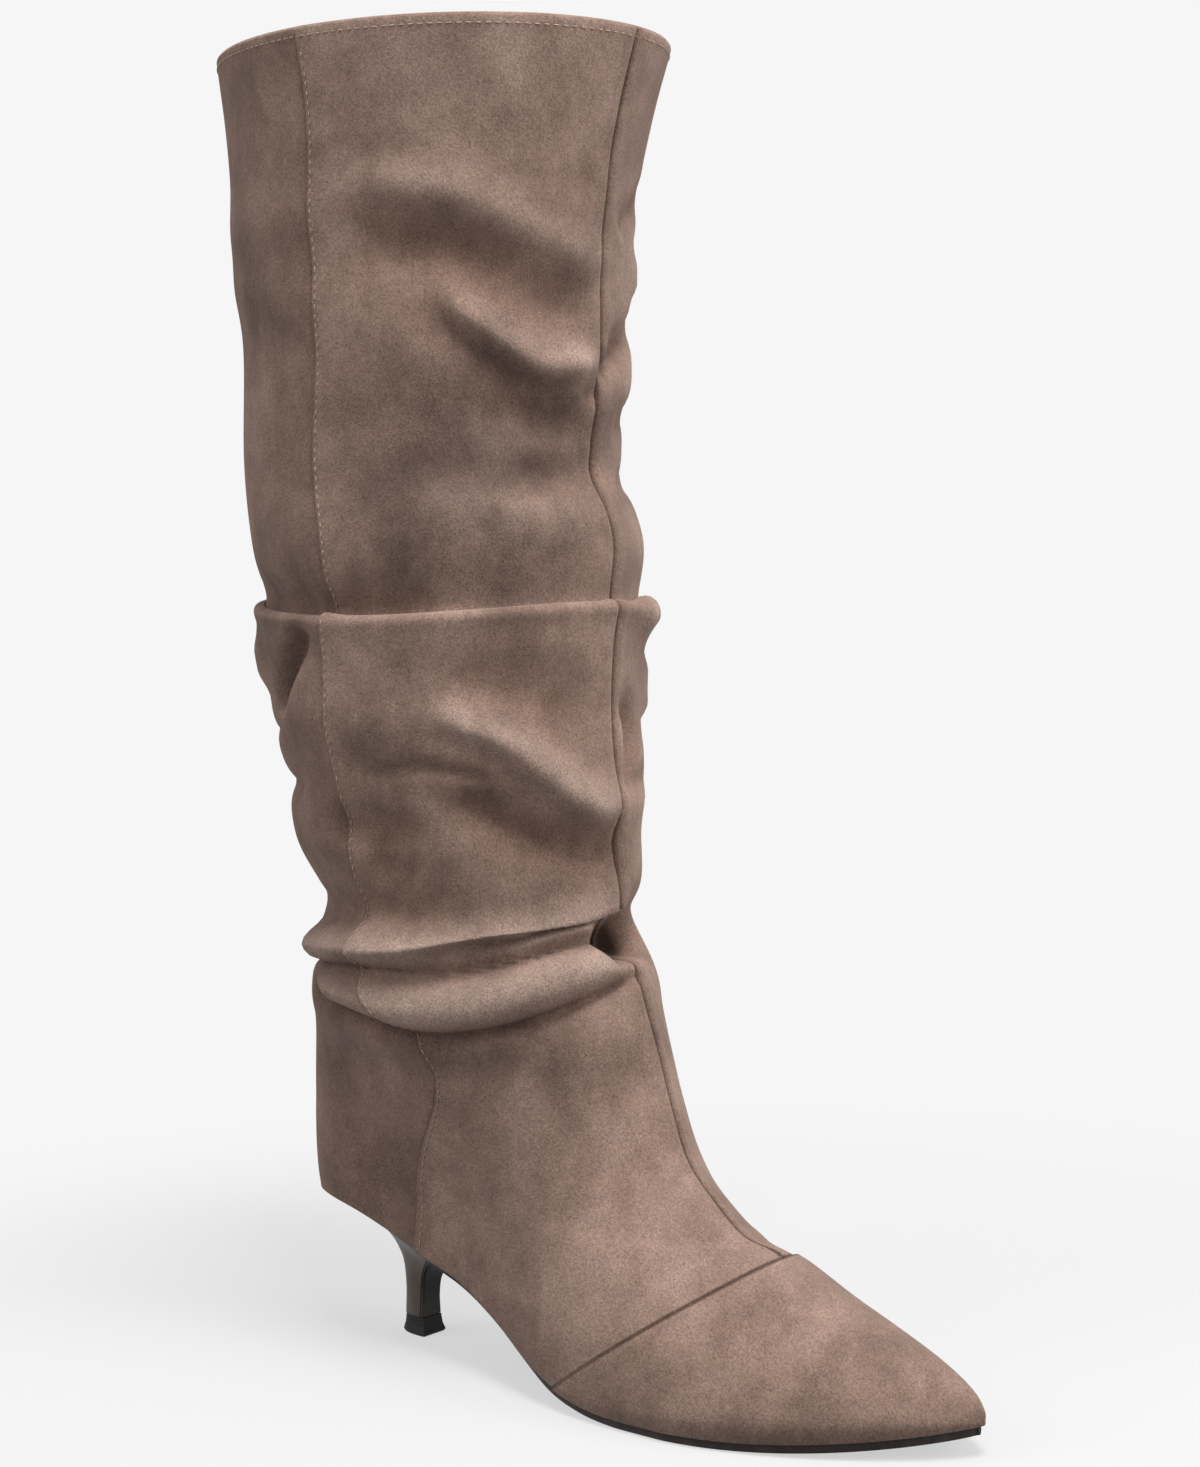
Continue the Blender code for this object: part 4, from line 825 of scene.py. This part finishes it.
def lay_stitches(path, facing, closed):
    """Adds one short lens-shaped stitch after another along a path over the suede."""
    if closed:
        path = np.concatenate([path, path[:1]])
        facing = np.concatenate([facing, facing[:1]])
    reach = np.concatenate([[0], np.cumsum(np.linalg.norm(np.diff(path, axis=0), axis=1))])
    count = int(reach[-1] / STITCH_PITCH)
    for k in range(count):
        at = (k + 0.5) * reach[-1] / count
        ends = [np.array([np.interp(at + e, reach, path[:, c]) for c in range(3)])
                for e in (-STITCH_LENGTH / 2, STITCH_LENGTH / 2)]
        up = np.array([np.interp(at, reach, facing[:, c]) for c in range(3)])
        up /= np.linalg.norm(up)
        run = (ends[1] - ends[0]) / np.linalg.norm(ends[1] - ends[0])
        side = np.cross(up, run)
        middle = (ends[0] + ends[1]) / 2 + FRAME_SHIFT
        rings = []
        for t, wide in STITCH_SECTIONS:
            centre = middle + run * STITCH_LENGTH * t + up * THREAD_WIDTH * STITCH_RISE
            turns = [j * 2 * math.pi / THREAD_SIDES for j in range(THREAD_SIDES)]
            rings.append([
                thread.verts.new(centre + (side * math.cos(a) + up * THREAD_FLATNESS * math.sin(a))
                                 * THREAD_WIDTH / 2 * wide)
                for a in turns
            ])
        sunk = middle - up * THREAD_WIDTH * TIP_SINK
        tips = [thread.verts.new(sunk + run * STITCH_LENGTH * t) for t in (-0.5, 0.5)]
        for low, high in zip(rings, rings[1:]):
            for j in range(THREAD_SIDES):
                n = (j + 1) % THREAD_SIDES
                thread.faces.new((low[j], low[n], high[n], high[j]))
        for tip, ring in zip(tips, (rings[0], rings[-1])):
            for j in range(THREAD_SIDES):
                thread.faces.new((tip, ring[(j + 1) % THREAD_SIDES], ring[j]))


thread = bmesh.new()
for seam in (-SIDE_ROW, SIDE_ROW):
    j = int(np.abs(shares - seam).argmin())
    lay_stitches(outer[3:-3, j], normals[3:-3, j], False)
i = int(np.abs(outer[:, 0, 2] - (BOOT_HEIGHT - COLLAR_ROW)).argmin())
lay_stitches(outer[i], normals[i], True)
bmesh.ops.recalc_face_normals(thread, faces=thread.faces)
for face in thread.faces:
    face.smooth = True
thread_mesh = bpy.data.meshes.new("stitches")
thread.to_mesh(thread_mesh)
thread.free()

# Thread near the suede's own tone, but warmer and smoother, so that a row shows as a fine pale line. The
# twist of its plies is a faint change of tone.
PLY_SIZE = 0.0006
waxed_thread, tree, shader = new_material("waxed_polyester_thread", 0.6)
place = add_node(tree, "TexCoord").outputs["Object"]
twist = add_node(tree, "TexNoise", Vector=place, Scale=1 / PLY_SIZE, Detail=1.0,
                 Roughness=0.55).outputs["Fac"]
ply_stops = ((0.35, "86705F"), (0.65, "A48D7B"))
tree.links.new(add_node(tree, "ValToRGB", {"stops": ply_stops}, Fac=twist).outputs["Color"],
               shader.inputs["Base Color"])
thread_mesh.materials.append(waxed_thread)
stitches = bpy.data.objects.new("stitches", thread_mesh)
bpy.context.scene.collection.objects.link(stitches)
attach(stitches, "root")


# Sock lining. A woven textile, pale beige, glued over the insole board and carried up the inside of the shaft
# as its lining. The insole is the source's own solid, and takes the same cloth.
# The cloth is matt, with a fine diagonal rib of about 0.4 mm and soft patches where it has been handled.
RIB_SCALE = 900.0
WORN_SIZE = 0.02
sock, tree, shader = new_material("woven_sock_lining", 0.85)
place = add_node(tree, "TexCoord").outputs["Object"]
rib = add_node(tree, "TexWave", {"bands_direction": "DIAGONAL"}, Vector=place, Scale=RIB_SCALE,
               Distortion=0.6).outputs["Fac"]
worn = add_node(tree, "TexNoise", Vector=place, Scale=1 / WORN_SIZE, Detail=2.0,
                Roughness=0.55).outputs["Fac"]
cloth_stops = ((0.3, "B09C88"), (0.7, "C2AF9B"))
tree.links.new(add_node(tree, "ValToRGB", {"stops": cloth_stops}, Fac=worn).outputs["Color"],
               shader.inputs["Base Color"])
tree.links.new(add_node(tree, "Bump", Height=rib, Distance=0.0002, Strength=0.4).outputs[0],
               shader.inputs["Normal"])
upper_mesh.materials.append(sock)
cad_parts["insole"].material_slots[0].material = sock


# Outsole. One moulded unit of dark resin, cemented under the upper from the pointed toe back, thin at the
# shank, and turned down as a flap over the breast of the heel. So the heel's sections are given here.
SHANK_THICKNESS = 0.0020
SHANK_END = 0.15
TREAD_START = 0.92
SOLE_LEDGE = 0.0004
SOLE_ROUNDING = 0.0006
MOST_ROUNDING = 0.4
SOLE_WAIST = 0.55
SOLE_STATIONS = 130
FLAP_THICKNESS = 0.0012
FLAP_THINNED = 0.3
BREAST_X = 0.060
HEEL_AXIS_X = 0.0366
STEM_LENGTH = 0.0094
STEM_WIDTH = 0.0090
TIP_HEIGHT = 0.0062
HEEL_ROWS = 44
SHARP_ANGLE = math.radians(40)
# Heel sections from the seat down to the top piece, as shares of the way from the stem's size to the seat's.
# straight: how little a section follows the seat's curve.
# drop, back, breast, half, straight
HEEL_SECTIONS = (
    (0.00, 0.96, 1.00, 0.96, 0.0), (0.05, 0.80, 0.90, 0.80, 0.3), (0.12, 0.60, 0.72, 0.58, 0.7),
    (0.21, 0.42, 0.50, 0.37, 1.0), (0.30, 0.27, 0.31, 0.21, 1.0), (0.40, 0.14, 0.15, 0.10, 1.0),
    (0.54, 0.04, 0.04, 0.02, 1.0), (0.76, 0.00, 0.00, 0.00, 1.0), (1.00, 0.00, 0.00, 0.02, 1.0),
)
places = np.linspace(0, len(HEEL_SECTIONS) - 1, HEEL_ROWS)
drop, back, breast, wide, straight = [
    flow(range(len(HEEL_SECTIONS)), column, places) for column in np.array(HEEL_SECTIONS).T
]
heel_back = mix(HEEL_AXIS_X - STEM_LENGTH / 2, FOOT_RINGS[0][0] * LAST_LENGTH, back)
heel_breast = mix(HEEL_AXIS_X + STEM_LENGTH / 2, BREAST_X, breast)
heel_half = mix(STEM_WIDTH / 2, plan_half(np.array(BREAST_X)), wide)
heel_middle = plan_swing(np.array(BREAST_X)) * wide


def heel_height(k, x):
    """Height of heel row k at x."""
    share = (x - heel_back[k]) / (heel_breast[k] - heel_back[k])
    slope = mix(feather_height(heel_back[k]), feather_height(np.array(BREAST_X)), share)
    return mix(mix(feather_height(x), slope, straight[k]) - GAP, TIP_HEIGHT + GAP, drop[k])


def add_piece(name, loops, made):
    """Closed mesh from loops of points, smooth but for its edges."""
    built = bmesh.new()
    rings = [[built.verts.new(point + FRAME_SHIFT) for point in loop] for loop in loops]
    for low, high in zip(rings, rings[1:]):
        for j in range(len(low)):
            built.faces.new((low[j - 1], low[j], high[j], high[j - 1]))
    built.faces.new(rings[0])
    built.faces.new(rings[-1])
    bmesh.ops.recalc_face_normals(built, faces=built.faces)
    for face in built.faces:
        face.smooth = True
    for edge in built.edges:
        edge.smooth = edge.calc_face_angle(0.0) < SHARP_ANGLE
    mesh = bpy.data.meshes.new(name)
    built.to_mesh(mesh)
    built.free()
    mesh.materials.append(made)
    piece = bpy.data.objects.new(name, mesh)
    bpy.context.scene.collection.objects.link(piece)
    return piece


start = BREAST_X + 2 * SHANK_THICKNESS
stations = []
for x in start + (LAST_LENGTH + SOLE_LEDGE - start) * np.sin(np.linspace(0, math.pi / 2, SOLE_STATIONS)):
    share = (x - BREAST_X) / (TREAD_X - BREAST_X)
    thick = mix(SHANK_THICKNESS, SOLE_THICKNESS, ramp((share - SHANK_END) / (TREAD_START - SHANK_END)))
    half = max(float(plan_half(np.minimum(x, LAST_LENGTH))) + SOLE_LEDGE, 2 * SOLE_LEDGE)
    top = np.array([x, plan_swing(x), feather_height(x) - GAP])
    stations.append((top - np.array([0, 0, thick]), top, half))
stations.reverse()
breast_height = [heel_height(k, heel_breast[k]) for k in range(HEEL_ROWS)]
line = np.stack([heel_breast, heel_middle, breast_height], axis=1)
runs = np.gradient(line, axis=0)
for k in range(HEEL_ROWS):
    facing = np.array([-runs[k, 2], 0, runs[k, 0]]) if k < HEEL_ROWS - 1 else np.array([1.0, 0, 0])
    facing /= np.linalg.norm(facing)
    thick = mix(FLAP_THICKNESS, SHANK_THICKNESS, max(1 - drop[k] / FLAP_THINNED, 0))
    inside = line[k] + facing * GAP
    stations.append((inside + facing * thick, inside, heel_half[k]))
loops = []
for low, high, half in stations:
    side = np.array([0, half, 0])
    inset = min(SOLE_ROUNDING / half, MOST_ROUNDING)
    waist = mix(high, low, SOLE_WAIST)
    loops.append((high - side, high + side, waist + side, low + side * (1 - inset),
                  low - side * (1 - inset), waist - side))

# Moulded resin, satin, nearly black. Up to 10 mm, near the floor, its edge is a brown grey with small lighter
# and darker patches, and it turns to the near black by 22 mm, on the shank and the flap.
SCUFF_SIZE = 0.004
GREY_EDGE_TOP = 0.010
BLACK_FROM = 0.022
resin, tree, shader = new_material("moulded_resin_sole", 0.5, 0.25)
place = add_node(tree, "TexCoord").outputs["Object"]
scuffs = add_node(tree, "TexNoise", Vector=place, Scale=1 / SCUFF_SIZE, Detail=3.0,
                  Roughness=0.55).outputs["Fac"]
height = add_node(tree, "SeparateXYZ", Vector=place).outputs[2]
toward_black = add_node(tree, "MapRange", i0=height, i1=GREY_EDGE_TOP, i2=BLACK_FROM).outputs[0]
edge_stops = ((0.35, "2E2826"), (0.7, "3F3835"))
edge = add_node(tree, "ValToRGB", {"stops": edge_stops}, Fac=scuffs).outputs["Color"]
colour = add_node(tree, "Mix", {"data_type": "RGBA"}, i0=toward_black, i6=edge, i7="0C0B0B").outputs[2]
tree.links.new(colour, shader.inputs["Base Color"])
satin = add_node(tree, "MapRange", i0=scuffs, i1=0.3, i2=0.7, i3=0.34, i4=0.5).outputs[0]
tree.links.new(satin, shader.inputs["Roughness"])
sole = add_piece("resin_sole", loops, resin)
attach(sole, "root")
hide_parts("outsole")


# Heel. Moulded in ABS with a slim stem that spreads into the cup under the seat, then sprayed with taupe
# lacquer. It is screwed and cemented under the seat, behind the sole's flap.
HEEL_COLUMNS = 56
HEEL_BACK_POWER = 0.9
loops = []
for k in range(HEEL_ROWS):
    angles = np.pi * (np.linspace(0, 1, HEEL_COLUMNS + 1) - 0.5)
    x = mix(heel_breast[k], heel_back[k], np.cos(angles))
    y = heel_half[k] * np.copysign(np.abs(np.sin(angles)) ** HEEL_BACK_POWER, angles) + heel_middle[k]
    loops.append(np.stack([x, y, heel_height(k, x)], axis=1))

# Lacquer, glossy and dark, with clear highlights down the stem, and a faint cloud where the spray is thinner.
SPRAY_SIZE = 0.003
lacquer, tree, shader = new_material("sprayed_taupe_lacquer", 0.28)
place = add_node(tree, "TexCoord").outputs["Object"]
spray = add_node(tree, "TexNoise", Vector=place, Scale=1 / SPRAY_SIZE, Detail=2.0,
                 Roughness=0.55).outputs["Fac"]
spray_stops = ((0.3, "3C332E"), (0.7, "4C413B"))
tree.links.new(add_node(tree, "ValToRGB", {"stops": spray_stops}, Fac=spray).outputs["Color"],
               shader.inputs["Base Color"])
heel = add_piece("lacquered_heel", loops, lacquer)
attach(heel, "root")
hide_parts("heel")


# Top piece. A small block of black rubber, pinned under the stem and ground flat where it meets the floor.
# It is the source's own solid.
# Rubber, dull black, with a grain of about 0.8 mm left by the grinding.
GROUND_SIZE = 0.0008
rubber, tree, shader = new_material("black_rubber_top_piece", 0.55, 0.3)
place = add_node(tree, "TexCoord").outputs["Object"]
grain = add_node(tree, "TexNoise", Vector=place, Scale=1 / GROUND_SIZE, Detail=2.0,
                 Roughness=0.55).outputs["Fac"]
ground_stops = ((0.3, "121211"), (0.7, "1D1D1C"))
tree.links.new(add_node(tree, "ValToRGB", {"stops": ground_stops}, Fac=grain).outputs["Color"],
               shader.inputs["Base Color"])
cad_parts["heel_tip"].material_slots[0].material = rubber
